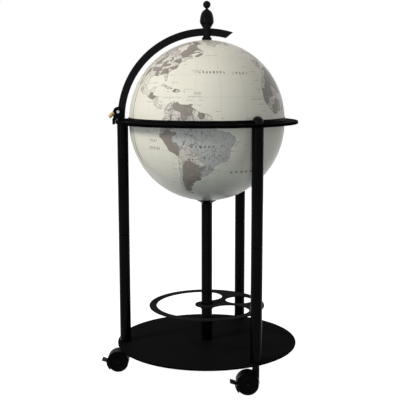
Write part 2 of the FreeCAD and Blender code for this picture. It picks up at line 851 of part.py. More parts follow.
def make_meridian_arc():
    """Flat curved bar over the pole, with its hinge eye, pole boss and the boss's two ribs."""
    foot = BASE_TOP + S.band_gap
    foot_rise = foot - UPPER_EQUATOR
    bar = upright("arc_bar", [
        (-leg_of(ARC_RADIUS, foot_rise), foot),
        (ARC_RADIUS * sine(S.arc_outer_tip),
         UPPER_EQUATOR + ARC_RADIUS * cosine(S.arc_outer_tip), -ARC_RADIUS),
        (ARC_BORE * sine(S.arc_inner_tip), UPPER_EQUATOR + ARC_BORE * cosine(S.arc_inner_tip)),
        (-leg_of(ARC_BORE, foot_rise), foot, ARC_BORE),
    ], S.arc_thickness)
    eye = cylinder("arc_eye", S.eye_radius, S.arc_thickness, PIN_X, 0, PIN_Z, along="y")
    boss_bottom = COLLAR_TOP + S.end_gap
    boss = cylinder("arc_boss", S.boss_radius, BOSS_TOP - boss_bottom, z=boss_bottom)
    pin_bore = cylinder("arc_pin_bore", S.pin_radius + S.run_gap, S.arc_thickness + S.cut_overrun * 2,
                        PIN_X, 0, PIN_Z, along="y")
    rod_bore = cylinder("arc_rod_bore", S.rod_radius + S.fit_gap,
                        BOSS_TOP - boss_bottom + S.cut_overrun * 2, z=boss_bottom - S.cut_overrun)
    rib_foot = UPPER_EQUATOR + ARC_RADIUS + S.rib_stand
    ribs = upright("arc_ribs", [
        (-S.boss_radius, rib_foot),
        (S.boss_radius, rib_foot),
        (S.rib_reach, BOSS_TOP),
        (-S.rib_reach, BOSS_TOP),
    ], S.rib_thickness)
    keep(cut("meridian_arc", fuse("arc_whole", bar, eye, boss, ribs), pin_bore, rod_bore))


def make_pole_rod():
    """Rod through the arc's boss into the lid, with the nut that the lid hangs on."""
    nut_top = NORTH_HUB_BOTTOM - S.end_gap
    nut_bottom = nut_top - S.nut_height
    bottom = nut_bottom - S.rod_tail
    keep(cylinder("pole_rod", S.rod_radius, BOSS_TOP + S.rod_stand - bottom, z=bottom))
    nut = hexagon("pole_nut_blank", S.pole_nut_width, S.nut_height, nut_bottom)
    hole = cylinder("pole_nut_hole", S.rod_radius + S.fit_gap, S.nut_height, z=nut_bottom)
    keep(cut("pole_nut", nut, hole))


def make_finial():
    """Turned acorn with a ball on top, screwed on the rod."""
    bore = S.rod_radius + S.fit_gap
    shoulder = BOSS_TOP + S.finial_lip
    belly = shoulder + S.finial_belly_rise
    crown = belly + S.finial_crown_rise
    neck = crown + S.finial_neck_rise
    ball_centre = neck + leg_of(S.finial_ball_radius, S.finial_neck_radius)
    socket_top = BOSS_TOP + S.rod_stand + S.end_gap
    keep(turned("finial", [
        (bore, BOSS_TOP),
        (S.finial_foot_radius, BOSS_TOP),
        (S.finial_radius, shoulder),
        (S.finial_belly_radius, belly, S.finial_belly_round),
        (S.finial_crown_radius, crown, S.finial_crown_round),
        (S.finial_neck_radius, neck),
        (S.finial_ball_radius, ball_centre, S.finial_ball_radius),
        (0, ball_centre + S.finial_ball_radius, S.finial_ball_radius),
        (0, socket_top),
        (bore, socket_top),
    ]))


def make_hinge_bracket():
    """Cheeked bracket on the left leg, hooked over the ring's edge."""
    left = PIN_X - S.cheek_radius
    foot_left = left - S.bracket_outer_step
    right = S.bracket_inner_gap + S.band_overhang + S.globe_radius
    foot = (-S.bracket_foot_half_width, S.bracket_foot_half_width)
    cheeks = (-CHEEK_HALF, CHEEK_HALF)
    base = block("bracket_base_block", (foot_left, -right), foot, (RING_TOP, BASE_TOP))
    apron_face = -RING_RADIUS - S.apron_gap
    apron = block("bracket_apron", (foot_left, apron_face), foot, (RING_TOP - S.apron_drop, BASE_TOP))
    cheek_block = block("bracket_cheeks", (left, PIN_X + S.cheek_radius), cheeks, (RING_TOP, PIN_Z))
    cheek_round = cylinder("bracket_round", S.cheek_radius, CHEEK_HALF * 2, PIN_X, 0, PIN_Z, along="y")
    body = fuse("bracket_body", base, apron, cheek_block, cheek_round)
    slot = (-SLOT_HALF, SLOT_HALF)
    sky = PIN_Z + S.cheek_radius + S.cut_overrun
    eye_side = PIN_X - S.eye_radius - S.eye_gap
    arc_slot = block("bracket_slot", (eye_side, -right + S.cut_overrun), slot, (BASE_TOP, sky))
    wall_slot = block("bracket_wall_slot", (foot_left, eye_side), slot, (PIN_Z - S.wall_drop, sky))
    pin_bore = cylinder("bracket_pin_bore", S.pin_radius + S.fit_gap, CHEEK_HALF * 2 + S.cut_overrun,
                        PIN_X, 0, PIN_Z, along="y")
    bolt_hole = make_bracket_bolt("bracket_bolt_hole", S.fit_gap)
    side_hole = cylinder("bracket_side_hole", S.side_screw_radius + S.fit_gap,
                         S.side_screw_length * 2, *side_screw_spot(), along="y")
    notch_half = S.peg_radius + S.fit_gap
    notch = block("bracket_peg_notch", (0, S.peg_length * 2), (-CHEEK_HALF * 2, CHEEK_HALF * 2),
                  (-notch_half, notch_half))
    peg_x, peg_z = PIN_X - S.peg_out, PIN_Z - S.peg_down
    corner = CHEEK_HALF * 2
    place(notch, peg_x + notch_half * sine(S.peg_azimuth), -corner,
          peg_z - notch_half * cosine(S.peg_azimuth),
          Rotation(Vector(0, 1, 0), -S.peg_azimuth.value))
    keep(cut("hinge_bracket", body, arc_slot, wall_slot, pin_bore, bolt_hole, side_hole, notch))


def side_screw_spot():
    """Middle of the bracket's front face, where the small cross screw goes in."""
    return (PIN_X - S.side_screw_offset, -S.bracket_foot_half_width, RING_TOP + S.bracket_base / 2)


def make_bracket_bolt(name, room):
    """Countersunk bolt from the bracket's base into the left leg."""
    head_bottom = BASE_TOP - S.bolt_head
    tip = RING_TOP - S.bolt_reach
    shank = S.cap_shank_radius + room
    head = S.bolt_head_radius + room
    bolt = turned(name, [
        (0, tip),
        (shank, tip),
        (shank, head_bottom),
        (head, BASE_TOP),
        (0, BASE_TOP),
    ])
    return on_leg(bolt, LEG_AZIMUTHS["left"])


def make_bracket_screws():
    """The bolt into the leg and the small cross screw on the bracket's front."""
    bolt = make_bracket_bolt("bracket_bolt", 0)
    x, y, z = side_screw_spot()
    head = cylinder("side_screw_head", S.side_screw_head_radius, S.side_screw_head,
                    x, y - S.side_screw_head / 2, z, along="y")
    shank = cylinder("side_screw_shank", S.side_screw_radius, S.side_screw_length,
                     x, y + S.side_screw_length / 2, z, along="y")
    keep(group("bracket_screws", [bolt, fuse("side_screw", head, shank)]))


def make_hinge_pin():
    """Headed pin through both cheeks and the arc's eye."""
    shank = cylinder("pin_shank", S.pin_radius, CHEEK_HALF * 2, PIN_X, 0, PIN_Z, along="y")
    heads = []
    for name, side in (("front", -1), ("rear", 1)):
        middle = (CHEEK_HALF + S.pin_head / 2) * side
        heads.append(cylinder(f"pin_head_{name}", S.pin_head_radius, S.pin_head,
                              PIN_X, middle, PIN_Z, along="y"))
    keep(fuse("hinge_pin", shank, *heads))


def make_stop_peg():
    """Round-ended peg that stops the arc when the lid is open."""
    flat = S.peg_radius - S.peg_end_round
    peg = turned("stop_peg", [
        (0, 0),
        (S.peg_radius, 0),
        (S.peg_radius, S.peg_length - S.peg_end_round),
        (flat, S.peg_length, S.peg_end_round),
        (0, S.peg_length),
    ])
    lean = Rotation(Vector(0, 1, 0), 90 - S.peg_azimuth.value)
    keep(place(peg, PIN_X - S.peg_out, 0, PIN_Z - S.peg_down, lean))


def make_caster(leg, azimuth):
    """Twin-wheel swivel caster, modelled with its stem on Z and its wheels trailing on +X."""
    trail = Rotation(Vector(0, 0, 1), S.caster_trail_azimuth.value)
    pieces = [
        make_caster_stem(leg),
        make_caster_hood(leg),
        make_caster_brake(leg),
    ]
    pieces += make_caster_wheels(leg)
    for piece in pieces:
        keep(swing(piece, trail, azimuth))


def swing(piece, trail, azimuth):
    """Turns a caster's piece to the trail's direction and moves it under its leg."""
    here = piece.Placement
    place(piece, LEG_CIRCLE * cosine(azimuth), LEG_CIRCLE * sine(azimuth), here.Base.z, trail * here.Rotation)
    return piece


def make_caster_stem(leg):
    bottom = CASTER_BOSS_TOP - S.stem_seat
    top = PLATE_TOP + S.stem_reach
    chamfer = S.stem_chamfer
    return turned(f"caster_stem_{leg}", [
        (0, bottom),
        (S.stem_radius, bottom),
        (S.stem_radius, top - chamfer),
        (S.stem_radius - chamfer, top),
        (0, top),
    ])


def brake_pivot():
    """Where the brake pedal turns, between the wheels."""
    x = S.caster_trail + S.brake_pivot_reach * cosine(S.brake_pivot_azimuth)
    z = AXLE_HEIGHT + S.brake_pivot_reach * sine(S.brake_pivot_azimuth)
    return x, z


def make_caster_hood(leg):
    """Arched hood with a middle web between the wheels and a boss for the stem."""
    axle = (S.caster_trail, 0, AXLE_HEIGHT)
    wheel_side = S.web_half + S.wheel_gap + S.wheel_width
    width = (wheel_side + S.hood_side) * 2
    arch = cut(f"hood_arch_{leg}",
               cylinder(f"hood_skin_{leg}", HOOD_RADIUS, width, *axle, along="y"),
               cylinder(f"hood_hollow_{leg}", HOOD_BORE, width, *axle, along="y"))
    crown = cylinder(f"hood_crown_{leg}", HOOD_RADIUS, S.web_half * 2, *axle, along="y")
    far = S.caster_trail + HOOD_RADIUS + S.cut_overrun
    near = S.caster_trail - HOOD_RADIUS - S.cut_overrun
    upper = block(f"hood_upper_{leg}", (near, far), (-width, width),
                  (AXLE_HEIGHT + S.hood_skirt, AXLE_HEIGHT + HOOD_RADIUS + S.cut_overrun))
    cover = common(f"hood_cover_{leg}", fuse(f"hood_ring_{leg}", arch, crown), upper)
    web = cylinder(f"hood_web_{leg}", S.wheel_radius - S.web_inset, S.web_half * 2, *axle, along="y")
    boss_low = CASTER_BOSS_TOP - S.boss_drop
    boss = cylinder(f"hood_boss_{leg}", S.caster_boss_radius, S.boss_drop, z=boss_low)
    wheel_room = cut(f"hood_room_{leg}",
                     cylinder(f"hood_room_disc_{leg}", HOOD_BORE, width, *axle, along="y"),
                     cylinder(f"hood_room_web_{leg}", HOOD_BORE, S.web_half * 2, *axle, along="y"))
    whole = fuse(f"hood_whole_{leg}", cover, web, cut(f"hood_post_{leg}", boss, wheel_room))
    stem_bore = cylinder(f"hood_stem_bore_{leg}", S.stem_radius + S.fit_gap,
                         S.stem_seat + S.cut_overrun, z=CASTER_BOSS_TOP - S.stem_seat)
    axle_bore = cylinder(f"hood_axle_bore_{leg}", S.axle_radius + S.run_gap, width, *axle, along="y")
    x, z = brake_pivot()
    pivot_bore = cylinder(f"hood_pivot_bore_{leg}", S.brake_pivot_radius + S.run_gap, width,
                          x, 0, z, along="y")
    slot = block(f"hood_slot_{leg}", (x - S.brake_slot_height, far),
                 (-S.brake_slot_half, S.brake_slot_half),
                 (z - S.brake_slot_height, z + S.brake_slot_height))
    return cut(f"caster_hood_{leg}", whole, stem_bore, axle_bore, pivot_bore, slot)


def make_caster_wheels(leg):
    """Axle pressed into two moulded wheels."""
    axle = (S.caster_trail, 0, AXLE_HEIGHT)
    inner = S.web_half + S.wheel_gap
    axle_half = inner + S.wheel_width - S.axle_inset
    rod = cylinder(f"caster_axle_{leg}_bar", S.axle_radius, axle_half * 2, *axle, along="y")
    pieces = [group(f"caster_axle_{leg}", [rod])]
    for name, side in (("a", -1), ("b", 1)):
        wheel = make_wheel(f"wheel_{name}_{leg}")
        place(wheel, S.caster_trail, inner * side, AXLE_HEIGHT, Rotation(Vector(1, 0, 0), -90 * side))
        pieces.append(group(f"caster_wheel_{name}_{leg}", [wheel]))
    return pieces


def make_wheel(name):
    """One wheel, its inner face at the origin and its dished face outwards on +Z."""
    bore = S.axle_radius + S.fit_gap
    radius, width, bend = S.wheel_radius, S.wheel_width, S.wheel_round
    dish = width - S.wheel_recess
    rim = radius - S.wheel_rim
    return turned(name, [
        (bore, 0),
        (radius - bend, 0),
        (radius, bend, bend),
        (radius, width - bend),
        (radius - bend, width, bend),
        (rim, width),
        (rim - S.wheel_recess, dish),
        (S.wheel_hub_radius, dish),
        (S.wheel_hub_radius, width),
        (bore, width),
    ])


def make_caster_brake(leg):
    """Foot pedal behind the wheels, on trunnions in the hood's web."""
    x, z = brake_pivot()
    axle = (S.caster_trail, 0, AXLE_HEIGHT)
    width = S.brake_half_width * 2
    plate_bore = S.wheel_radius + S.brake_gap
    plate_radius = plate_bore + S.brake_plate
    sweep = S.brake_plate_high - S.brake_plate_low
    sector = cylinder(f"brake_sector_{leg}", plate_radius, width, *axle, along="y",
                      start=S.brake_plate_low, sweep=sweep)
    hollow = cylinder(f"brake_hollow_{leg}", plate_bore, width, *axle, along="y")
    plate = cut(f"brake_plate_{leg}", sector, hollow)
    tab_start = S.caster_trail + plate_bore + S.brake_plate / 2
    tab_half = S.brake_tab_thickness / 2
    tab = block(f"brake_tab_{leg}", (tab_start, tab_start + S.brake_tab_length),
                (-S.brake_half_width, S.brake_half_width),
                (AXLE_HEIGHT - tab_half, AXLE_HEIGHT + tab_half))
    place(tab, tab_start, -S.brake_half_width, AXLE_HEIGHT - tab_half,
          Rotation(Vector(0, 1, 0), -S.brake_tab_tilt.value))
    tongue_end = S.caster_trail + leg_of(plate_bore + S.brake_plate / 2, AXLE_HEIGHT - z)
    tongue = block(f"brake_tongue_{leg}", (x, tongue_end),
                   (-S.brake_tongue_half, S.brake_tongue_half),
                   (z - S.brake_eye_radius, z + S.brake_eye_radius))
    eye = cylinder(f"brake_eye_{leg}", S.brake_eye_radius, S.brake_tongue_half * 2, x, 0, z, along="y")
    trunnion = cylinder(f"brake_trunnion_{leg}", S.brake_pivot_radius,
                        (S.web_half - S.brake_trunnion_gap) * 2, x, 0, z, along="y")
    return fuse(f"caster_brake_{leg}", plate, tab, tongue, eye, trunnion)


def check_document():
    """Stops if an object failed or a sub-part's shape is missing or broken."""
    doc.recompute()
    for thing in doc.Objects:
        if "Invalid" in thing.State or "Error" in thing.State:
            raise RuntimeError(f"{thing.Label} failed: {thing.State}")
    for piece in subparts:
        if piece.Shape.isNull() or not piece.Shape.isValid():
            raise RuntimeError(f"{piece.Label} has no valid shape")


def write_parts():
    os.makedirs("parts", exist_ok=True)
    for piece in subparts:
        piece.Shape.exportStep(f"parts/{piece.Label}.step")


make_base_plate()
make_bottle_rack()
make_rack_collar()
make_centre_post()
make_legs()
make_horizon_ring()
make_leg_caps()
make_south_pivot()
make_lower_half()
make_serving_tray()
make_upper_half()
make_meridian_arc()
make_pole_rod()
make_finial()
make_hinge_bracket()
make_bracket_screws()
make_hinge_pin()
make_stop_peg()
for leg_name, leg_azimuth in LEG_AZIMUTHS.items():
    make_caster(leg_name, leg_azimuth)
check_document()
write_parts()
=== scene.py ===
"""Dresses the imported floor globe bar: printed globe, black stand, bar inside, casters and stage."""

import math

import bpy
import numpy as np
from bpy.props import FloatProperty, FloatVectorProperty, IntProperty, PointerProperty
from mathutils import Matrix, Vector


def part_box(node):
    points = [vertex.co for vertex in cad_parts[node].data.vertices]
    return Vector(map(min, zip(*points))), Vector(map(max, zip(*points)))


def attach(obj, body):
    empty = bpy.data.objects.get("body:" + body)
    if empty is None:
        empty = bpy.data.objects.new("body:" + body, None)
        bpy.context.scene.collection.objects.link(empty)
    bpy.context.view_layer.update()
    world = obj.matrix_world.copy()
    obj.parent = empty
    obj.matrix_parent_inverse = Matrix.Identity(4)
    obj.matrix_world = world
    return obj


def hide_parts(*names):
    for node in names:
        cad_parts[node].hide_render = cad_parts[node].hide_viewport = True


bl_info = {
    "name": "Floor Globe Bar",
    "version": (1, 0, 0),
    "blender": (4, 5, 0),
    "location": "View3D > Sidebar > Globe Bar",
    "description": "Builds the surfaces, finishes and studio of a floor globe bar on its packed frame",
    "category": "Object",
}

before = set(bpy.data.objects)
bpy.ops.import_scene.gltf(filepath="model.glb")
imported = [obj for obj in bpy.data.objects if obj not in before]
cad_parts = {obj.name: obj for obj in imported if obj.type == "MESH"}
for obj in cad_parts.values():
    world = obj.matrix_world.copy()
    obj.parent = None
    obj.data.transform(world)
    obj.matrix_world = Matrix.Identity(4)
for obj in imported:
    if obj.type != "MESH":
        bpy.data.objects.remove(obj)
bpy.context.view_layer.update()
CASTER_LEGS = ("left", "front", "back")

# Coasts, lakes and countries as (longitude, latitude) in degrees
OUTLINES = {
    "south_america": (
        (-77.3, 8.6), (-75.6, 10.6), (-74.2, 11.3), (-71.7, 12.4), (-71.4, 10.9), (-70.0, 12.2),
        (-68.3, 10.6), (-65.0, 10.1), (-61.9, 10.7), (-62.3, 9.8), (-60.9, 8.6), (-58.5, 7.2),
        (-57.0, 6.0), (-52.9, 5.2), (-51.2, 4.0), (-49.9, 1.2), (-50.7, 0.0), (-48.4, -0.8),
        (-44.5, -2.0), (-43.4, -2.4), (-41.0, -2.9), (-39.2, -4.6), (-37.6, -5.4), (-37.0, -7.6),
        (-37.4, -9.4), (-38.6, -11.4), (-39.6, -13.0), (-39.8, -16.0), (-39.7, -19.6), (-41.0, -22.1),
        (-44.6, -23.3), (-48.5, -25.8), (-48.7, -28.4), (-50.6, -31.0), (-53.5, -34.0), (-56.2, -34.9),
        (-58.4, -34.0), (-57.2, -35.5), (-56.7, -36.4), (-57.6, -38.1), (-62.0, -39.0), (-62.3, -40.8),
        (-65.0, -41.0), (-63.6, -42.6), (-65.4, -44.8), (-67.5, -46.0), (-65.8, -47.4), (-67.7, -50.0),
        (-69.0, -51.3), (-68.3, -53.0), (-66.8, -54.7), (-68.4, -55.6), (-72.0, -54.0), (-75.0, -51.5),
        (-75.5, -48.5), (-73.6, -44.5), (-73.8, -41.8), (-73.4, -37.5), (-71.6, -33.5), (-71.4, -29.5),
        (-70.5, -25.0), (-70.2, -19.0), (-71.6, -17.4), (-75.4, -15.3), (-77.0, -12.2), (-79.2, -7.9),
        (-81.2, -6.1), (-81.3, -4.4), (-80.1, -3.0), (-80.9, -1.8), (-79.9, 0.8), (-77.3, 3.6),
        (-77.9, 7.2),
    ),
    "north_america": (
        (-77.9, 7.2), (-79.6, 9.0), (-80.4, 7.4), (-83.2, 8.4), (-85.8, 10.2), (-87.6, 12.9), (-92.2, 14.4),
        (-95.0, 16.1), (-99.8, 16.7), (-104.6, 19.2), (-105.5, 21.4), (-109.4, 25.7), (-112.9, 30.3),
        (-114.7, 31.7), (-111.6, 26.6), (-109.5, 23.1), (-112.2, 25.4), (-115.7, 30.2), (-117.3, 32.9),
        (-120.6, 34.5), (-122.5, 37.5), (-124.3, 40.4), (-124.0, 46.3), (-123.0, 48.6), (-127.8, 51.4),
        (-130.4, 54.6), (-135.0, 58.3), (-139.7, 59.6), (-148.5, 60.1), (-152.5, 58.8), (-158.0, 56.4),
        (-164.0, 54.7), (-157.6, 58.6), (-162.0, 58.8), (-165.2, 61.2), (-161.0, 64.5), (-167.8, 65.6),
        (-163.0, 66.8), (-166.2, 68.4), (-156.6, 71.3), (-141.0, 69.7), (-128.0, 70.3), (-115.0, 68.3),
        (-96.0, 68.2), (-94.8, 71.8), (-91.0, 69.6), (-85.0, 69.4), (-81.6, 67.4), (-87.0, 64.8),
        (-94.5, 60.5), (-92.6, 57.0), (-85.0, 55.4), (-82.3, 53.2), (-80.0, 51.3), (-79.2, 54.6),
        (-76.7, 56.8), (-78.4, 58.9), (-78.6, 65.4), (-70.4, 66.0), (-66.4, 61.0), (-65.0, 59.9),
        (-61.5, 56.5), (-55.8, 52.9), (-61.0, 51.6), (-66.4, 50.2), (-71.0, 47.0), (-67.6, 48.2),
        (-66.0, 47.2), (-66.4, 45.8), (-65.0, 45.0), (-65.4, 44.2), (-66.4, 43.8), (-67.2, 44.9),
        (-70.4, 43.4), (-70.1, 41.9), (-74.0, 40.6), (-75.3, 38.2), (-75.6, 35.3), (-78.5, 33.7),
        (-81.3, 31.4), (-80.2, 27.0), (-80.7, 25.2), (-82.7, 27.8), (-84.0, 30.0), (-89.4, 30.2),
        (-89.4, 29.1), (-94.0, 29.6), (-97.3, 27.4), (-97.6, 22.6), (-96.0, 19.2), (-92.2, 18.5),
        (-90.4, 21.0), (-87.0, 21.4), (-88.4, 17.6), (-88.2, 15.8), (-83.3, 15.0), (-83.7, 11.0),
        (-80.0, 9.3),
    ),
    "greenland": (
        (-44.0, 60.0), (-51.5, 64.0), (-53.5, 67.0), (-51.0, 69.5), (-55.0, 72.5), (-60.0, 75.6),
        (-72.0, 78.0), (-62.0, 81.2), (-33.0, 83.4), (-18.0, 81.0), (-20.5, 74.5), (-25.0, 69.2),
        (-38.0, 65.6),
    ),
    "baffin_island": (
        (-65.0, 61.9), (-72.5, 63.8), (-77.5, 64.6), (-73.2, 67.4), (-80.0, 70.0), (-89.0, 71.2),
        (-85.0, 73.6), (-76.5, 72.7), (-68.0, 70.2), (-61.6, 66.7), (-67.5, 63.8),
    ),
    "victoria_island": (
        (-117.0, 69.2), (-105.0, 69.0), (-102.0, 72.0), (-106.0, 73.6), (-118.5, 72.6),
    ),
    "ellesmere_island": (
        (-78.0, 76.4), (-76.0, 79.2), (-63.0, 82.4), (-82.0, 83.0), (-93.0, 80.8), (-89.0, 77.2),
    ),
    "newfoundland": (
        (-63.8, 46.0), (-62.6, 48.2), (-59.6, 50.2), (-56.2, 51.0), (-57.8, 48.8), (-61.0, 46.0),
    ),
    "cuba": ((-84.9, 21.9), (-82.0, 23.1), (-76.4, 21.3), (-74.2, 20.1), (-77.6, 19.9), (-81.6, 22.2)),
    "hispaniola": ((-74.4, 18.4), (-72.7, 19.9), (-69.9, 19.6), (-68.4, 18.5), (-71.4, 17.8)),
    "jamaica": ((-78.3, 18.4), (-76.3, 18.1), (-77.3, 17.8)),
    "puerto_rico": ((-67.2, 18.5), (-65.7, 18.3), (-66.6, 17.9)),
    "trinidad": ((-61.8, 10.8), (-60.9, 10.7), (-61.2, 10.0)),
    "falklands": ((-61.0, -51.8), (-58.0, -51.4), (-59.5, -52.3)),
    "iceland": (
        (-24.2, 65.5), (-21.5, 66.4), (-16.0, 66.5), (-13.7, 65.0), (-18.8, 63.4), (-22.6, 63.9),
    ),
    "great_britain": (
        (-5.5, 50.1), (1.3, 51.2), (1.6, 52.7), (-1.4, 54.8), (-2.0, 57.6), (-5.0, 58.5), (-5.8, 56.3),
        (-3.2, 54.8), (-4.5, 53.2), (-3.2, 51.4),
    ),
    "ireland": ((-6.2, 52.2), (-10.2, 51.7), (-9.8, 53.9), (-7.6, 55.2), (-5.7, 54.4)),
    "africa": (
        (-5.9, 35.8), (-2.2, 35.1), (3.0, 36.8), (9.8, 37.3), (10.2, 34.4), (15.3, 32.2), (19.2, 30.3),
        (21.8, 32.8), (25.2, 31.6), (31.5, 31.5), (33.0, 28.6), (35.6, 23.9), (37.3, 20.4), (39.6, 15.4),
        (43.2, 11.5), (44.8, 10.4), (51.2, 11.8), (47.8, 4.4), (42.0, -1.2), (39.2, -4.8), (40.6, -10.8),
        (40.6, -15.2), (35.0, -19.9), (35.4, -24.0), (32.6, -26.2), (31.0, -29.8), (26.0, -33.9),
        (20.0, -34.8), (18.3, -33.0), (15.0, -26.6), (11.8, -17.6), (13.7, -11.0), (11.8, -4.6),
        (8.8, -0.8), (9.7, 3.8), (6.2, 4.3), (4.2, 6.4), (-1.8, 4.8), (-7.0, 4.2), (-12.0, 8.2),
        (-15.2, 11.8), (-15.8, 14.7), (-15.0, 19.0), (-15.6, 20.8), (-12.6, 25.8), (-8.4, 28.8), (-7.2, 31.6),
    ),
    "madagascar": ((49.3, -12.0), (50.4, -15.8), (47.2, -24.9), (44.4, -25.2), (43.4, -22.2), (44.4, -16.4)),
    "eurasia": (
        (-5.6, 36.0), (-8.9, 37.0), (-9.4, 38.8), (-9.2, 43.2), (-1.7, 43.4), (-1.2, 46.0), (-4.7, 48.3),
        (-1.5, 49.0), (1.6, 50.9), (8.0, 53.7), (8.3, 56.8), (10.5, 57.7), (10.8, 54.2), (19.0, 54.4),
        (21.4, 57.2), (24.2, 57.6), (23.6, 59.2), (29.6, 60.0), (22.6, 60.0), (21.4, 62.6), (25.3, 65.1),
        (21.8, 65.6), (17.2, 61.4), (16.6, 57.2), (12.8, 55.5), (11.0, 59.0), (7.0, 58.0), (5.2, 61.6),
        (14.5, 67.6), (25.6, 71.0), (31.2, 70.2), (41.0, 67.0), (33.2, 66.6), (37.5, 64.0), (44.0, 66.2),
        (46.0, 68.1), (60.5, 69.4), (68.4, 68.4), (67.6, 71.6), (72.6, 71.8), (73.8, 67.8), (76.0, 72.2),
        (87.0, 75.0), (104.5, 77.6), (113.2, 74.2), (127.0, 72.6), (131.0, 71.0), (140.0, 72.6),
        (160.0, 69.7), (178.0, 69.2), (190.0, 66.2), (179.4, 62.6), (170.2, 60.0), (163.0, 58.6),
        (156.8, 51.2), (155.8, 56.6), (163.4, 61.7), (152.0, 59.2), (142.0, 59.2), (135.4, 54.8),
        (141.0, 52.6), (140.2, 48.4), (135.4, 43.8), (130.0, 42.2), (127.6, 39.6), (129.4, 36.6),
        (126.5, 34.6), (126.6, 37.6), (121.4, 38.9), (121.6, 40.7), (117.8, 39.0), (122.2, 37.0),
        (119.4, 34.8), (121.8, 31.6), (121.6, 28.4), (117.6, 23.8), (110.6, 21.2), (106.0, 19.6),
        (109.2, 13.0), (105.0, 8.8), (102.6, 12.2), (100.2, 13.4), (99.4, 9.8), (103.4, 4.4), (104.0, 1.5),
        (100.6, 4.2), (98.4, 8.2), (97.4, 16.6), (94.4, 16.0), (91.8, 22.4), (87.0, 21.4), (82.3, 16.7),
        (80.2, 13.4), (79.8, 10.2), (77.5, 8.1), (74.6, 13.2), (72.7, 20.8), (69.0, 22.2), (66.8, 25.0),
        (57.2, 26.6), (51.4, 27.9), (48.4, 30.2), (50.2, 26.4), (54.0, 24.2), (56.4, 26.2), (59.8, 22.5),
        (55.2, 17.2), (44.8, 12.8), (42.8, 15.4), (39.0, 21.2), (34.9, 28.2), (32.6, 30.6), (34.6, 31.8),
        (36.0, 36.4), (30.6, 36.6), (27.2, 36.8), (26.3, 39.4), (29.2, 41.2), (35.0, 42.0), (41.5, 41.6),
        (37.6, 46.4), (33.4, 44.6), (30.8, 46.4), (28.0, 42.4), (28.6, 41.3), (23.4, 40.4), (23.8, 37.8),
        (22.6, 36.6), (19.4, 40.4), (19.3, 42.0), (13.8, 45.4), (12.4, 44.4), (16.2, 41.7), (18.4, 40.0),
        (16.6, 39.2), (15.8, 38.1), (15.4, 40.0), (10.4, 43.4), (8.8, 44.4), (4.6, 43.4), (3.1, 42.0),
        (-0.2, 39.4), (-2.0, 36.8),
    ),
    "novaya_zemlya": ((52.0, 71.4), (57.6, 70.8), (60.0, 74.8), (68.8, 76.8), (58.0, 75.6)),
    "svalbard": ((11.0, 79.2), (17.0, 76.8), (24.0, 78.6), (26.0, 80.2), (16.0, 80.0)),
    "sicily": ((12.5, 38.0), (15.6, 38.2), (15.1, 36.7)),
    "sardinia": ((8.4, 39.0), (8.3, 41.0), (9.7, 41.0), (9.6, 39.2)),
    "sri_lanka": ((80.0, 9.7), (81.8, 7.4), (80.5, 6.0), (79.8, 7.8)),
    "sumatra": ((95.3, 5.6), (100.4, 2.2), (105.9, -3.2), (105.6, -5.8), (101.6, -3.4), (98.6, 1.6)),
    "java": ((105.2, -6.8), (108.6, -6.6), (114.4, -7.8), (114.0, -8.6), (106.6, -7.4)),
    "borneo": (
        (109.2, 1.8), (113.0, 3.2), (116.8, 7.0), (119.2, 5.1), (117.6, 1.0), (116.0, -3.9),
        (110.2, -2.8),
    ),
    "sulawesi": (
        (119.4, -5.4), (118.9, -2.6), (120.2, 0.9), (125.0, 1.5), (120.9, 0.2), (122.8, -4.6),
        (120.6, -2.8),
    ),
    "new_guinea": (
        (131.0, -0.8), (134.2, -0.9), (135.0, -3.3), (141.0, -2.6), (147.8, -6.1), (150.6, -10.5),
        (143.0, -9.2), (138.2, -8.2), (137.8, -5.2), (132.8, -4.0),
    ),
    "luzon": ((120.6, 18.5), (122.2, 18.4), (121.7, 14.4), (124.0, 12.7), (120.4, 14.4)),
    "mindanao": ((122.1, 7.0), (125.4, 9.8), (126.4, 7.0), (125.4, 5.7)),
    "taiwan": ((121.2, 25.2), (121.9, 24.9), (120.8, 22.0), (120.1, 23.2)),
    "honshu": (
        (130.9, 34.1), (136.8, 37.2), (140.0, 39.8), (141.2, 41.4), (141.9, 39.4), (140.7, 35.7),
        (135.6, 33.6),
    ),
    "hokkaido": ((140.2, 41.6), (141.8, 45.4), (145.4, 43.3), (143.2, 42.0)),
    "kyushu": ((129.8, 33.2), (131.8, 33.6), (131.2, 31.4), (130.2, 31.3)),
    "sakhalin": ((142.6, 54.2), (143.8, 49.4), (142.2, 46.1), (142.0, 51.0)),
    "australia": (
        (113.7, -22.4), (117.4, -20.7), (122.2, -17.4), (126.0, -14.0), (129.4, -14.9), (131.0, -12.3),
        (136.6, -12.1), (135.8, -15.0), (139.6, -17.5), (142.5, -10.8), (145.4, -15.0), (149.4, -21.6),
        (153.2, -25.4), (153.4, -28.8), (150.2, -36.6), (146.4, -39.0), (140.5, -38.0), (138.0, -34.2),
        (135.8, -34.8), (131.2, -31.5), (124.0, -33.2), (118.2, -35.0), (115.1, -34.2), (115.7, -31.6),
        (113.4, -26.2),
    ),
    "tasmania": ((144.7, -40.8), (148.3, -40.9), (147.0, -43.5)),
    "new_zealand_north": ((172.8, -34.5), (175.6, -36.8), (178.4, -37.7), (175.2, -41.5), (174.0, -39.2)),
    "new_zealand_south": ((172.8, -40.6), (174.2, -41.6), (170.8, -45.8), (168.4, -46.6), (166.6, -45.8)),
}
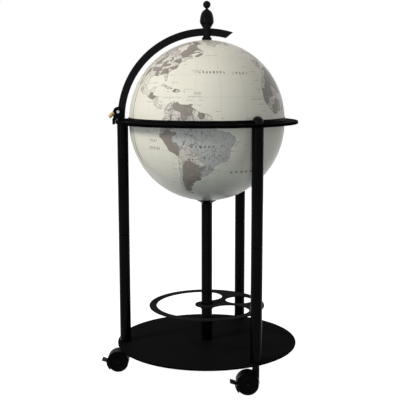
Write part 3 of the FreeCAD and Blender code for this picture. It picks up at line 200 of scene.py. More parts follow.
LAKES = {
    "caspian_sea": ((47.4, 45.2), (53.0, 46.6), (53.4, 41.0), (53.8, 37.2), (49.4, 37.5), (49.2, 41.0)),
    "lake_superior": ((-92.0, 46.7), (-88.4, 48.6), (-84.8, 47.2), (-87.4, 46.6)),
    "lake_michigan": ((-87.8, 42.0), (-87.6, 45.0), (-85.2, 45.8), (-86.4, 42.4)),
    "lake_huron": ((-84.6, 46.0), (-80.4, 45.4), (-81.8, 43.2), (-83.4, 44.2)),
    "lake_erie": ((-83.2, 41.8), (-79.0, 42.9), (-80.4, 42.0)),
    "lake_victoria": ((31.8, -0.8), (33.4, 0.2), (34.0, -1.2), (32.6, -2.4)),
    "great_bear_lake": ((-124.6, 65.4), (-120.0, 66.8), (-119.0, 65.6)),
    "great_slave_lake": ((-116.4, 61.2), (-110.0, 62.8), (-112.6, 61.2)),
    "lake_winnipeg": ((-98.8, 53.6), (-97.4, 53.2), (-96.6, 50.8)),
}
TAUPE_LANDS = {
    "china": (
        (74.0, 39.0), (80.0, 45.0), (87.0, 49.0), (97.0, 42.8), (105.0, 41.8), (111.0, 43.5),
        (117.0, 47.0), (120.0, 53.0), (126.0, 50.0), (131.0, 47.5), (130.0, 42.5), (126.0, 40.0),
        (124.0, 30.0), (119.0, 22.0), (108.0, 21.5), (101.0, 21.5), (98.0, 25.0), (97.0, 28.0),
        (88.0, 28.0), (79.0, 32.0),
    ),
    "arabia": (
        (36.0, 32.0), (46.0, 29.0), (51.0, 24.6), (55.0, 22.0), (52.0, 18.5), (43.0, 16.5), (38.0, 21.0),
    ),
    "congo": (
        (12.0, 5.0), (18.0, 5.0), (27.0, 5.0), (31.0, 2.0), (29.0, -3.0), (30.5, -8.0), (28.0, -13.0),
        (22.0, -11.0), (17.0, -7.0), (11.0, -5.0),
    ),
    "turkey": ((25.0, 42.0), (36.0, 43.0), (44.0, 41.0), (44.0, 37.0), (36.0, 36.4), (26.0, 35.6)),
    "west_australia": ((111.0, -36.0), (129.0, -34.0), (129.0, -12.0), (121.0, -15.0), (111.0, -22.0)),
    "sweden": ((11.0, 58.0), (13.0, 65.0), (18.0, 68.5), (24.0, 66.0), (19.0, 60.0), (14.0, 54.5)),
    "mozambique": ((30.4, -16.0), (35.0, -11.0), (42.0, -10.0), (40.0, -17.0), (36.0, -24.0), (31.8, -26.0)),
    "borneo": ((108.0, 2.0), (117.0, 8.0), (120.0, 3.0), (116.0, -5.0), (109.0, -4.0)),
    "papua": ((130.0, 0.0), (141.0, -1.0), (152.0, -4.0), (151.0, -12.0), (141.0, -10.0)),
    "peru": (
        (-84.0, -3.6), (-80.2, -4.3), (-78.4, -3.6), (-75.4, -0.4), (-73.2, -2.4), (-70.2, -2.8),
        (-70.0, -4.2), (-73.0, -5.4), (-73.8, -7.4), (-72.6, -9.4), (-70.6, -9.6), (-68.9, -12.4),
        (-69.4, -15.4), (-69.6, -17.6), (-70.6, -18.6), (-76.0, -19.0), (-84.0, -8.0),
    ),
    "argentina": (
        (-66.2, -21.8), (-62.8, -22.1), (-57.8, -25.4), (-58.6, -27.2), (-54.6, -25.6), (-53.8, -27.2),
        (-57.6, -30.2), (-58.2, -34.2), (-54.0, -36.0), (-58.0, -45.0), (-63.0, -56.0), (-68.6, -55.0),
        (-68.8, -52.4), (-72.4, -51.6), (-71.8, -44.6), (-71.4, -39.0), (-69.9, -33.4), (-68.6, -26.8),
        (-67.2, -23.4),
    ),
    "venezuela": (
        (-71.2, 12.0), (-69.0, 13.6), (-60.0, 12.0), (-59.9, 8.2), (-61.3, 6.0), (-60.8, 4.7), (-64.0, 3.8),
        (-63.4, 2.2), (-65.6, 0.8), (-67.2, 2.0), (-67.6, 6.2), (-70.2, 6.9), (-72.4, 7.6), (-73.0, 9.4),
        (-72.0, 11.2),
    ),
    "suriname": ((-57.4, 7.0), (-53.6, 7.0), (-54.4, 2.4), (-56.6, 1.9), (-58.0, 4.0)),
    "quebec": (
        (-80.0, 49.5), (-79.4, 54.6), (-78.0, 60.0), (-80.0, 67.0), (-64.0, 67.0), (-63.0, 57.8),
        (-56.6, 56.4), (-54.4, 53.0), (-61.6, 54.4), (-66.0, 56.0), (-66.4, 52.4), (-63.6, 50.4),
        (-66.4, 47.4), (-70.4, 46.2), (-75.0, 46.6),
    ),
    "baffin": ((-82.0, 62.0), (-90.0, 72.0), (-76.0, 74.0), (-60.0, 67.0), (-64.0, 61.0)),
    "isle": ((-66.0, 45.0), (-62.6, 50.6), (-55.0, 52.4), (-55.0, 47.0), (-61.0, 44.6)),
    "new_mexico": ((-109.2, 31.0), (-109.0, 35.0), (-104.2, 36.4), (-103.4, 33.0), (-107.4, 28.6)),
    "arkansas": (
        (-103.0, 36.6), (-90.2, 36.2), (-88.6, 33.2), (-91.2, 32.8), (-89.2, 28.6), (-93.6, 29.2),
        (-94.6, 32.8), (-100.0, 33.2),
    ),
    "alabama": ((-88.4, 34.9), (-83.2, 35.0), (-80.6, 32.0), (-81.4, 30.6), (-85.0, 30.8), (-88.4, 29.8)),
    "virginia": ((-84.4, 36.0), (-78.6, 37.0), (-75.6, 38.6), (-75.0, 35.2), (-78.2, 33.6), (-80.6, 34.8)),
    "illinois": (
        (-91.0, 36.8), (-92.6, 40.6), (-90.2, 42.6), (-87.6, 42.4), (-87.8, 39.4), (-83.0, 39.4),
        (-82.2, 37.6), (-88.0, 36.8),
    ),
    "michigan": ((-90.4, 47.2), (-86.0, 47.0), (-83.4, 44.2), (-84.2, 41.8), (-86.4, 41.8), (-86.0, 45.0)),
    "new_york": ((-81.4, 41.2), (-80.4, 43.4), (-75.0, 44.2), (-73.4, 41.0), (-75.2, 38.6), (-77.2, 40.2)),
    "minnesota": ((-104.4, 38.6), (-104.4, 41.4), (-98.2, 47.0), (-96.6, 49.4), (-93.4, 47.4), (-97.0, 39.8)),
    "mauritania": (
        (-18.0, 20.4), (-12.0, 20.2), (-11.4, 22.6), (-10.0, 23.0), (-9.0, 25.2), (-7.4, 25.4), (-7.4, 27.4),
        (-3.8, 24.6), (-3.6, 22.6), (-4.8, 14.6), (-8.6, 14.8), (-10.6, 13.6), (-11.0, 12.0), (-13.8, 10.4),
        (-18.0, 11.2),
    ),
    "algeria": (
        (-7.4, 27.4), (-6.6, 28.6), (-3.6, 30.6), (-1.2, 32.4), (-2.2, 36.0), (8.6, 38.0), (9.0, 33.0),
        (10.2, 30.0), (11.6, 24.0), (8.6, 16.2), (6.4, 16.6), (1.0, 19.6), (-3.6, 22.6), (-3.8, 24.6),
    ),
    "burkina": ((-5.2, 10.2), (-3.6, 12.6), (-0.4, 14.4), (3.0, 11.4), (3.4, 6.0), (1.6, 6.0), (0.6, 10.4)),
    "ivory_coast": ((-8.2, 10.2), (-2.4, 9.8), (-2.9, 4.0), (-7.2, 3.6), (-8.2, 7.4)),
    "haiti": ((-75.0, 20.4), (-71.7, 20.2), (-71.8, 17.6), (-75.0, 17.8)),
    "guatemala": ((-92.4, 15.2), (-91.0, 17.8), (-88.0, 17.4), (-84.6, 15.4), (-87.2, 13.2), (-90.0, 13.4)),
}
ROSE_LANDS = {
    "india": (
        (67.0, 24.0), (74.0, 34.0), (79.0, 32.0), (81.0, 28.5), (88.0, 26.5), (92.0, 26.0), (89.0, 21.0),
        (82.0, 13.0), (77.0, 6.0), (71.0, 18.0),
    ),
    "kazakhstan": (
        (47.0, 48.0), (55.0, 51.0), (61.0, 54.0), (70.0, 55.0), (77.0, 53.0), (86.0, 49.0), (80.0, 44.0),
        (70.0, 42.0), (56.0, 41.5), (53.0, 46.0),
    ),
    "egypt": ((25.0, 33.0), (34.5, 32.0), (37.6, 22.0), (25.0, 22.0)),
    "ethiopia": ((36.0, 14.0), (42.0, 12.0), (48.0, 8.0), (42.0, 4.0), (35.0, 5.0), (33.0, 8.0)),
    "queensland": ((138.0, -26.0), (155.0, -28.0), (147.0, -17.0), (142.0, -9.0), (138.0, -16.0)),
    "angola": ((10.0, -5.6), (17.0, -7.0), (22.0, -11.0), (24.0, -13.0), (22.0, -17.6), (10.0, -17.4)),
    "germany": ((6.0, 55.0), (14.0, 55.0), (24.0, 54.6), (24.0, 50.0), (14.0, 48.0), (7.0, 48.0)),
    "indochina": ((98.0, 20.0), (104.0, 21.8), (110.0, 16.0), (107.0, 7.0), (100.0, 12.0)),
    "colombia": (
        (-82.0, -3.4), (-80.2, -4.3), (-78.4, -3.6), (-75.4, -0.4), (-73.2, -2.4), (-70.2, -2.8),
        (-69.6, 1.0), (-67.2, 2.0), (-67.6, 6.2), (-70.2, 6.9), (-72.4, 7.6), (-73.0, 9.4), (-71.2, 12.6),
        (-77.6, 9.6), (-79.4, 5.0), (-82.0, 0.0),
    ),
    "bolivia": (
        (-69.6, -17.6), (-69.4, -15.4), (-68.9, -12.4), (-65.4, -10.0), (-61.8, -13.4), (-60.2, -16.2),
        (-57.8, -18.0), (-58.2, -20.0), (-62.3, -20.8), (-62.8, -22.1), (-66.2, -21.8), (-68.0, -22.6),
    ),
    "canada": (
        (-141.0, 72.0), (-141.0, 60.0), (-131.0, 53.0), (-123.6, 49.0), (-95.0, 49.0), (-89.0, 48.0),
        (-83.0, 46.3), (-79.6, 47.4), (-80.0, 52.0), (-92.0, 58.0), (-82.0, 70.0), (-100.0, 74.0),
    ),
    "guinea": (
        (-11.0, 12.0), (-10.6, 13.6), (-8.6, 14.8), (-4.8, 14.6), (-5.6, 10.4), (-8.2, 10.2), (-8.4, 7.4),
        (-13.5, 8.0), (-13.8, 10.4),
    ),
    "western_europe": (
        (-12.0, 35.9), (-12.0, 44.0), (-6.0, 49.0), (-11.0, 51.0), (-9.0, 60.0), (2.0, 60.0), (3.0, 51.0),
        (9.0, 55.0), (9.0, 44.0), (3.0, 41.0), (0.0, 37.6), (-3.0, 36.0),
    ),
}
PALE_LANDS = {
    "russia": (
        (28.0, 60.0), (30.0, 71.0), (60.0, 73.0), (100.0, 80.0), (140.0, 76.0), (180.0, 74.0),
        (180.0, 60.0), (160.0, 48.0), (135.0, 42.4), (131.0, 47.5), (126.0, 50.0), (120.0, 53.5),
        (117.0, 50.0), (98.0, 50.5), (87.0, 49.5), (77.0, 53.5), (70.0, 55.5), (61.0, 54.5), (55.0, 51.5),
        (47.0, 49.0), (39.0, 44.6), (38.0, 52.0), (32.0, 54.0),
    ),
    "iran": (
        (44.0, 39.5), (48.0, 38.5), (54.0, 37.5), (61.0, 36.0), (61.0, 25.0), (57.0, 25.4), (49.0, 30.0),
    ),
    "libya": ((9.5, 31.0), (12.0, 34.0), (25.0, 33.0), (25.0, 20.0), (14.0, 22.5), (10.0, 26.0)),
    "sudan": ((24.0, 22.0), (38.0, 22.0), (38.0, 16.0), (34.0, 9.0), (25.0, 9.0), (22.0, 14.0)),
    "mid_australia": (
        (129.0, -34.0), (138.0, -36.0), (141.0, -40.0), (150.0, -39.0), (155.0, -28.0), (138.0, -26.0),
        (138.0, -15.0), (135.0, -11.0), (129.0, -12.0),
    ),
    "south_africa": (
        (15.0, -29.0), (20.0, -25.0), (29.0, -22.0), (34.0, -27.0), (27.0, -36.0), (17.0, -36.0),
    ),
    "kenya": ((31.0, 2.0), (35.0, 5.0), (42.0, 4.0), (43.0, -2.0), (40.0, -10.0), (31.0, -8.6), (29.4, -3.0)),
    "chile": (
        (-77.0, -18.4), (-70.0, -17.4), (-68.4, -19.6), (-68.0, -22.6), (-67.2, -23.4), (-68.6, -26.8),
        (-69.9, -33.4), (-71.4, -39.0), (-71.8, -44.6), (-72.4, -51.6), (-68.8, -52.4), (-68.6, -55.0),
        (-67.0, -57.0), (-78.0, -54.0),
    ),
    "paraguay": (
        (-62.8, -22.1), (-62.3, -20.8), (-58.2, -20.0), (-57.8, -22.1), (-54.2, -24.2), (-54.6, -25.6),
        (-58.6, -27.2), (-57.8, -25.4),
    ),
    "guyana": ((-60.0, 8.6), (-57.2, 6.4), (-58.0, 4.0), (-56.6, 1.9), (-59.8, 2.0), (-61.3, 6.0)),
    "french_guiana": ((-54.6, 7.0), (-48.0, 5.0), (-48.4, 0.6), (-51.4, 1.2), (-54.4, 2.4)),
    "mexico": (
        (-119.0, 33.4), (-106.4, 31.6), (-101.4, 29.4), (-96.4, 26.2), (-95.6, 20.2), (-90.6, 22.4),
        (-85.6, 22.4), (-86.8, 17.0), (-82.0, 15.4), (-82.4, 10.6), (-76.4, 9.8), (-77.0, 6.4),
        (-84.0, 7.4), (-97.0, 14.4), (-107.0, 18.4), (-113.0, 24.0),
    ),
    "antilles": ((-86.0, 24.0), (-73.4, 21.4), (-64.6, 19.4), (-64.6, 17.2), (-79.0, 17.0), (-86.0, 21.0)),
    "united_states": (
        (-126.0, 49.0), (-95.0, 49.0), (-89.0, 48.0), (-83.0, 46.3), (-82.5, 42.0), (-79.0, 43.4),
        (-75.0, 45.2), (-66.0, 47.6), (-66.0, 43.0), (-74.0, 36.0), (-79.0, 24.0), (-84.0, 26.0),
        (-97.0, 25.6), (-101.5, 29.5), (-106.5, 31.5), (-118.5, 32.4), (-126.0, 40.0),
    ),
    "mali": ((-4.8, 14.6), (-3.6, 22.6), (1.0, 19.6), (6.4, 16.6), (3.8, 14.6), (-0.2, 14.4)),
    "morocco": (
        (-19.0, 20.4), (-12.0, 20.2), (-11.4, 22.6), (-10.0, 23.0), (-9.0, 25.2), (-7.4, 25.4), (-6.6, 28.6),
        (-3.6, 30.6), (-1.2, 32.4), (-2.2, 36.0), (-8.0, 36.6), (-19.0, 28.0),
    ),
    "liberia": ((-13.5, 8.0), (-8.4, 7.4), (-7.2, 3.6), (-12.0, 4.6)),
    "iceland": ((-26.0, 62.6), (-26.0, 67.4), (-12.4, 67.4), (-12.4, 62.6)),
}
# Rows of printed marks: longitude and latitude of the middle, length and height in millimetres,
# and how many marks
LARGE_MARK_ROWS = (
    (-49.5, 31.9, 55.0, 6.4, 8), (-29.5, 31.3, 40.0, 6.4, 5), (-55.4, -11.8, 50.0, 5.6, 6),
    (-86.7, -8.6, 23.0, 6.6, 5), (-86.5, -13.6, 31.0, 6.6, 7), (-22.5, -31.1, 94.0, 6.0, 8),
    (65.0, -20.0, 90.0, 6.0, 8), (80.0, -32.0, 70.0, 5.4, 7), (160.0, 10.0, 110.0, 6.0, 9),
    (-150.0, 24.0, 120.0, 6.0, 10), (-150.0, -24.0, 120.0, 6.0, 10),
)
# Rows of the smallest marks, spaced by their height: longitude and latitude of the middle, length and height
SMALL_MARK_ROWS = (
    (-59.7, 33.6, 21.0, 1.9), (-59.0, 32.0, 18.0, 1.9), (-73.8, 24.4, 15.0, 1.8),
    (-64.1, 19.8, 19.0, 1.8), (-58.3, 18.0, 14.0, 1.6), (-58.3, 16.9, 14.0, 1.6),
    (-59.8, 15.4, 27.0, 1.7), (-62.9, 13.1, 14.0, 1.6), (-56.3, 13.1, 11.6, 1.6),
    (-76.2, 14.5, 24.0, 1.6), (-69.7, 14.6, 8.2, 1.6), (-21.6, 13.5, 31.0, 2.3), (-18.5, 19.6, 15.0, 1.7),
    (-18.3, 10.4, 18.0, 1.9), (-17.7, 25.7, 12.0, 1.8), (-18.3, 17.8, 7.4, 1.7), (-17.5, 32.4, 20.0, 2.0),
    (-24.4, 36.3, 12.0, 2.0), (-35.0, -9.1, 13.0, 1.7), (-36.2, -10.4, 7.0, 1.7),
    (-36.8, -11.8, 8.0, 1.7), (-38.4, -15.1, 9.0, 1.8), (-55.5, -54.2, 27.0, 3.0),
    (-90.2, 11.7, 17.7, 1.6), (-81.1, 12.0, 11.2, 1.6), (-78.8, 10.1, 10.7, 1.6),
    (-94.6, 23.5, 14.6, 1.8), (-89.1, 24.3, 15.8, 1.8), (-77.4, 29.7, 11.0, 1.8), (-69.4, 38.6, 9.0, 2.0),
    (-49.0, 47.9, 26.0, 2.2), (-72.4, -20.0, 10.0, 1.8), (-73.6, -24.3, 10.0, 1.9),
    (-73.6, -28.3, 14.0, 2.2), (-75.2, -33.2, 10.7, 2.0), (-76.4, -36.9, 10.0, 2.0),
    (-40.2, -19.4, 9.0, 1.8), (-39.2, -22.2, 10.0, 1.9), (-42.2, -24.7, 10.0, 1.9),
    (-46.4, -28.8, 14.0, 2.0), (-48.6, -31.4, 11.0, 2.0), (-53.6, -37.7, 11.0, 2.2),
    (-55.7, -40.0, 12.3, 2.2), (-44.5, 2.6, 8.0, 1.7), (-29.6, 2.3, 9.0, 1.7), (-30.3, -11.0, 12.0, 1.4),
    (-90.7, -2.7, 12.6, 2.1), (-83.0, -2.0, 11.7, 1.7), (-57.3, 10.1, 8.4, 1.6), (-69.6, 4.5, 15.0, 1.8),
    (-64.0, -17.2, 14.0, 1.6), (-75.4, -9.6, 12.0, 1.6), (-80.6, -41.0, 12.0, 1.8),
    (-26.0, 58.0, 14.0, 1.6), (-18.0, 52.4, 18.0, 1.6), (-47.0, 6.6, 12.0, 1.5), (-17.0, 6.4, 13.0, 1.5),
    (20.0, 22.0, 46.0, 2.6), (95.0, 56.0, 70.0, 2.8), (100.0, 34.0, 50.0, 2.6), (134.0, -25.0, 44.0, 2.6),
    (-104.0, 56.0, 44.0, 2.2), (22.0, -2.0, 30.0, 2.2),
)
# The southern ice: latitude of its coast at longitudes all round
ICE_COAST = (
    (-180.0, -77.5), (-155.0, -77.0), (-135.0, -74.5), (-110.0, -74.0), (-90.0, -72.8), (-75.0, -71.5),
    (-67.0, -67.4), (-62.5, -64.8), (-57.0, -63.3), (-56.0, -65.5), (-53.0, -74.5), (-40.0, -77.5),
    (-20.0, -73.0), (0.0, -69.8), (25.0, -69.6), (50.0, -66.6), (70.0, -68.6), (90.0, -66.6), (115.0, -66.4),
    (140.0, -66.8), (160.0, -69.6), (170.0, -72.5), (171.0, -77.5),
)

MM = 0.001
UPPER_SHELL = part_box("upper_shell")
LOWER_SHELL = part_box("lower_shell")
GLOBE_RADIUS = UPPER_SHELL[1].x
GLOBE_WALL = 3 * MM
MM_PER_DEGREE = GLOBE_RADIUS * math.pi / 180 / MM
INNER_ROWS = 24
SHARP_DEGREES = 35
POINTS_PER_BLOCK = 4000

# The map: how far its signed distances reach in millimetres, and its lines in degrees
MAP_REACH = 14.0
EDGE_SOFTNESS = 0.25
GRATICULE_STEP = 15.0
TROPIC_LATITUDE = 23.4
CELLS_PER_METRE = 58.0
# Rivers: waves a metre, the noise's level along them, and the reach of their bends in metres
RIVER_WAVES = ((24.0, 0.5, 0.012), (38.0, 0.46, 0.008), (52.0, 0.54, 0.006), (64.0, 0.5, 0.006))
# Printed marks: pitch as a share of their height, strokes and storeys in each, and the chance of a gap
SMALL_MARK_PITCH_SHARE = 0.9
STROKES_PER_MARK = 6.0
STOREYS_PER_MARK = 4.0
GAP_CHANCE = 0.34
# Half widths of the map's lines, the softness of its coast and the length of its ticks in millimetres
COAST_HALF_LINE = 0.12
COAST_SOFTNESS = 0.4
BORDER_HALF_LINE = 0.1
NET_HALF_LINE = 0.12
SCALE_HALF_LINE = 1.1
TICK_LENGTH = 3.2
# How far the ink covers the print
SHORE_INK_SHARE = 0.8
MARK_INK_SHARE = 0.85
RIVER_INK_SHARE = 0.75
BORDER_INK_SHARE = 0.5
NET_INK_SHARE = 0.28
SCALE_INK_SHARE = 0.9

# Second tones of the finishes as shares of their colours, and the dust on top faces
PAINT_LIGHT_SHARE = 1.3
PAINT_LIFT = 0.0005
PLATE_DULL_SHARE = 0.72
MOULD_DEEP_SHARE = 0.86
WOOD_DARK_SHARE = 0.72
DEEP_SEA_SHARE = 0.955
DUST_SHADES = (150, 146, 138)
DUST_COVER_SHARE = 0.05
# Coats that more than one piece wears
LACQUER = {"roughness": 0.1, "specular": 0.07, "grain": 500.0, "dust": 0.1, "smear": 0.04}
FLAT_COAT = {"roughness": 0.55, "specular": 0.001, "dust": 0.6, "turned": 6.0}

FLOOR_HALF_WIDTH = 9.0
FLOOR_WHITE = 0.97
FLOOR_SHADOW_GREY = (0.35, 0.35, 0.35)
WHITE = (1.0, 1.0, 1.0, 1.0)
# Lamps: the setting of their tone, width, height and place in metres, and whether gloss mirrors them
LAMPS = {
    "key": ("key_tone", 0.9, 0.8, (-2.4, -1.3, 2.2), False),
    "fill": ("fill_tone", 0.6, 1.4, (0.1, -3.0, 0.35), False),
    "strip": ("fill_tone", 0.4, 1.6, (-2.0, -1.9, 1.15), True),
    "rear": ("key_tone", 1.2, 1.2, (1.2, 2.6, 1.0), False),
}


def display(red, green, blue):
    """A display colour of 0 to 255 as linear red, green and blue."""
    shares = np.array((red, green, blue)) / 255
    return tuple(np.where(shares > 0.04045, ((shares + 0.055) / 1.055) ** 2.4, shares / 12.92).tolist())


def opaque(colour):
    """A colour property as the four numbers that a socket takes."""
    return (*colour, 1.0)


def colour_property(name, description, *shades):
    """A colour that the sidebar shows, given as display values."""
    return FloatVectorProperty(name=name, description=description, subtype="COLOR", min=0, max=1,
                               default=display(*shades))


def length_property(name, description, metres):
    """A length in metres that the sidebar shows."""
    return FloatProperty(name=name, description=description, subtype="DISTANCE", unit="LENGTH",
                         default=metres)


def angle_property(name, description, degrees):
    """An angle that the sidebar shows in degrees."""
    return FloatProperty(name=name, description=description, subtype="ANGLE", unit="ROTATION",
                         default=math.radians(degrees))


def power_property(name, description, watts):
    """A lamp's power in watts that the sidebar shows."""
    return FloatProperty(name=name, description=description, unit="POWER", default=watts)


def share_property(name, description, share):
    """A share from 0 to 1 that the sidebar shows."""
    return FloatProperty(name=name, description=description, subtype="FACTOR", min=0, max=1, default=share)


class GlobePrintSettings(bpy.types.PropertyGroup):
    """Colours and placing of the printed map."""

    sea: colour_property("Sea", "Paper colour of the seas", 233, 227, 211)
    pale_land: colour_property("Pale Land", "Lands left near the paper colour", 224, 217, 203)
    grey_land: colour_property("Grey Land", "Lands in light grey", 193, 191, 184)
    rose_land: colour_property("Rose Land", "Lands in pale rose", 214, 203, 194)
    taupe_land: colour_property("Taupe Land", "Lands in dark taupe", 141, 131, 121)
    ink: colour_property("Ink", "Coasts, borders, rivers and marks", 78, 70, 70)
    facing_longitude: angle_property("Facing Longitude", "Longitude that faces the front", -53.2)
    facing_azimuth: angle_property("Facing Azimuth", "Direction of the front about the globe's axis", 266)
    spread: FloatProperty(name="Spread", description="How much the map widens at the front", default=0.205)
    north_lift: angle_property("North Lift", "How far northern middle latitudes sit from the seam", 4.5)
    south_lift: angle_property("South Lift", "How far southern middle latitudes sit from the seam", 2.3)
    scale_longitude: angle_property("Scale Longitude", "Longitude of the graduated scale", -109)
    columns: IntProperty(name="Columns", description="Mesh columns round the globe", default=560, min=64)
    rows: IntProperty(name="Rows", description="Mesh rows from the rim to the pole", default=132, min=16)
    gloss: share_property("Gloss Roughness", "Roughness of the lacquer", 0.4)


class FinishSettings(bpy.types.PropertyGroup):
    """Colours of the stand, the bar inside and the hardware."""

    frame_black: colour_property("Frame Black", "Powder coat of the stand", 4, 4, 5)
    # Set lighter than the frame black: painted sheen for the light that the arc's flat face reflects
    arc_sheen_black: colour_property("Arc Black", "Coat of the meridian arc", 19, 19, 21)
    rack_black: colour_property("Rack Black", "Coat of the bottle rack", 26, 26, 26)
    gloss_black: colour_property("Gloss Black", "Lacquer of the finial and caps", 4, 4, 5)
    trim_black: colour_property("Trim Black", "Plastic rims at the globe's seam", 7, 7, 8)
    tray_plastic: colour_property("Tray", "Moulded tray and wells", 205, 196, 178)
    steel: colour_property("Steel", "Plated screws, pins and nuts", 196, 196, 194)
    dull_steel: colour_property("Dull Steel", "Screws of the hinge bracket", 118, 118, 117)
    dark_steel: colour_property("Dark Steel", "Blackened stems, axles and sleeves", 14, 14, 15)
    peg_wood: colour_property("Peg Wood", "Pale wood of the stop peg", 204, 176, 114)
    caster_black: colour_property("Caster Black", "Nylon of the hoods, hubs and pedals", 4, 4, 5)
    tread_grey: colour_property("Tread", "Rubber of the wheels", 7, 7, 8)
    inner_cream: colour_property("Inner Shell", "Unprinted inside of the globe", 226, 220, 204)


class StudioSettings(bpy.types.PropertyGroup):
    """Camera, lamps and floor."""

    camera_distance: length_property("Camera Distance", "Level distance from the globe's axis", 2.1483)
    camera_height: length_property("Camera Height", "Height of the lens above the floor", 0.78065)
    camera_azimuth: angle_property("Camera Azimuth", "Turn about the globe's axis", -4)
    camera_tilt: angle_property("Camera Tilt", "Angle between the lens and straight down", 81.5)
    lens: FloatProperty(name="Lens", description="Focal length on a 36 mm sensor", unit="CAMERA",
                        default=74.52)
    shift: FloatProperty(name="Shift", description="Sideways shift of the frame", default=-0.017)
    key_power: power_property("Key Power", "Lamp on the left", 58.0)
    fill_power: power_property("Fill Power", "Lamp near the lens", 22.0)
    strip_power: power_property("Strip Power", "Slim lamp that the tubes mirror", 10.0)
    key_tone: colour_property("Key Tone", "Colour of the lamp on the left", 255, 254, 252)
    fill_tone: colour_property("Fill Tone", "Colour of the other lamps", 240, 250, 255)
    rear_power: power_property("Rear Power", "Lamp behind on the right", 28.0)
    ambient: share_property("Ambient", "Even light from all round", 0.3)
    floor: colour_property("Floor", "Floor as it lights the object from below", 86, 100, 106)


def add(tree, kind, inputs=None, **settings):
    """A new node with its settings, and its inputs set or linked by name or number."""
    made = tree.nodes.new(kind)
    for name, value in settings.items():
        setattr(made, name, value)
    for name, value in (inputs or {}).items():
        if isinstance(value, bpy.types.NodeSocket):
            tree.links.new(value, made.inputs[name])
        else:
            made.inputs[name].default_value = value
    return made


def maths(tree, operation, first, second=0.0):
    """One sum of two numbers or sockets."""
    return add(tree, "ShaderNodeMath", {0: first, 1: second}, operation=operation).outputs[0]


def ramp(tree, value, low, high, start=0.0, end=1.0):
    """A smooth step of a value from start at low to end at high."""
    limits = {"Value": value, "From Min": low, "From Max": high, "To Min": start, "To Max": end}
    return add(tree, "ShaderNodeMapRange", limits, interpolation_type="SMOOTHSTEP").outputs[0]


def inside(tree, distance):
    """A mask that is 1 where a signed distance is above zero."""
    return ramp(tree, distance, -EDGE_SOFTNESS, EDGE_SOFTNESS)


def line(tree, distance, half_width, soft=EDGE_SOFTNESS):
    """A mask that is 1 along the zero of a signed distance."""
    return ramp(tree, maths(tree, "ABSOLUTE", distance), half_width, half_width + soft, 1.0, 0.0)


def tint(tree, factor, first, second):
    """The mix of two colours or sockets."""
    made = add(tree, "ShaderNodeMix", data_type="RGBA")
    for place, value in ((0, factor), (6, first), (7, second)):
        if isinstance(value, bpy.types.NodeSocket):
            tree.links.new(value, made.inputs[place])
        else:
            made.inputs[place].default_value = value
    return made.outputs[2]


def object_place(tree):
    """Object coordinates, which are metres in the shared frame."""
    return add(tree, "ShaderNodeTexCoord").outputs["Object"]


def noise(tree, scale, detail=3.0, roughness=0.55, place=None):
    """Fractal noise from 0 to 1, with its scale in waves a metre."""
    inputs = {"Vector": place or object_place(tree), "Scale": scale, "Detail": detail, "Roughness": roughness}
    return add(tree, "ShaderNodeTexNoise", inputs).outputs[0]


def field(tree, name):
    """A number that the mesh carries at each point."""
    return add(tree, "ShaderNodeAttribute", attribute_name=name).outputs["Fac"]


def new_group(name, inputs, outputs):
    """An empty shader node group with number sockets, and its two ends."""
    group = bpy.data.node_groups.new(name, "ShaderNodeTree")
    for label, value in inputs.items():
        group.interface.new_socket(label, in_out="INPUT", socket_type="NodeSocketFloat").default_value = value
    for label in outputs:
        group.interface.new_socket(label, in_out="OUTPUT", socket_type="NodeSocketFloat")
    return group, add(group, "NodeGroupInput").outputs, add(group, "NodeGroupOutput").inputs


def place_group(tree, name, **values):
    """The outputs of a shared group, placed with its own values."""
    made = add(tree, "ShaderNodeGroup", node_tree=bpy.data.node_groups[name])
    for label, value in values.items():
        made.inputs[label.replace("_", " ").title()].default_value = value
    return made.outputs


def make_speckle_group():
    """Fine grain for paint and plastic: a bump height, and a tone that wanders about 0.5."""
    group, given, wanted = new_group("Speckle", {"Grain": 900.0}, ("Height", "Tone"))
    fine = noise(group, 900.0, 2.0)
    group.links.new(given["Grain"], fine.node.inputs["Scale"])
    broad = noise(group, 14.0, 4.0)
    tone = maths(group, "ADD", maths(group, "MULTIPLY", fine, 0.35), maths(group, "MULTIPLY", broad, 0.65))
    group.links.new(fine, wanted["Height"])
    group.links.new(tone, wanted["Tone"])


def make_handling_group():
    """Finger marks and dust: a mask of soft smears, and a mask of settled dust on faces that look up."""
    group, given, wanted = new_group("Handling", {"Smear": 0.5, "Dust": 0.3}, ("Smear", "Dust"))
    smear = maths(group, "MULTIPLY", ramp(group, noise(group, 22.0, 5.0, 0.65), 0.48, 0.72), given["Smear"])
    up = add(group, "ShaderNodeSeparateXYZ", {0: add(group, "ShaderNodeNewGeometry").outputs["Normal"]})
    settled = maths(group, "MULTIPLY", ramp(group, up.outputs["Z"], 0.6, 1.0), noise(group, 260.0, 4.0, 0.7))
    group.links.new(smear, wanted["Smear"])
    group.links.new(maths(group, "MULTIPLY", settled, given["Dust"]), wanted["Dust"])


def make_turned_group():
    """Lathe lines about the globe's axis: noise read by radius and height alone, as a bump height."""
    group, given, wanted = new_group("Turned Lines", {"Lines": 1.0}, ("Height",))
    place = add(group, "ShaderNodeSeparateXYZ", {0: object_place(group)}).outputs
    level = maths(group, "ADD", maths(group, "MULTIPLY", place["X"], place["X"]),
                  maths(group, "MULTIPLY", place["Y"], place["Y"]))
    across = add(group, "ShaderNodeCombineXYZ", {"X": maths(group, "SQRT", level), "Y": place["Z"]})
    lines = noise(group, 420.0, 2.0, 0.5, across.outputs[0])
    group.links.new(maths(group, "MULTIPLY", lines, given["Lines"]), wanted["Height"])


def new_finish(name, **sockets):
    """A material with one shader, whose constant sockets are set here."""
    finish = bpy.data.materials.new(name)
    finish.use_nodes = True
    tree = finish.node_tree
    tree.nodes.clear()
    constants = {key.replace("_", " "): value for key, value in sockets.items()}
    shader = add(tree, "ShaderNodeBsdfPrincipled", constants)
    add(tree, "ShaderNodeOutputMaterial", {"Surface": shader.outputs[0]})
    return finish, tree, shader


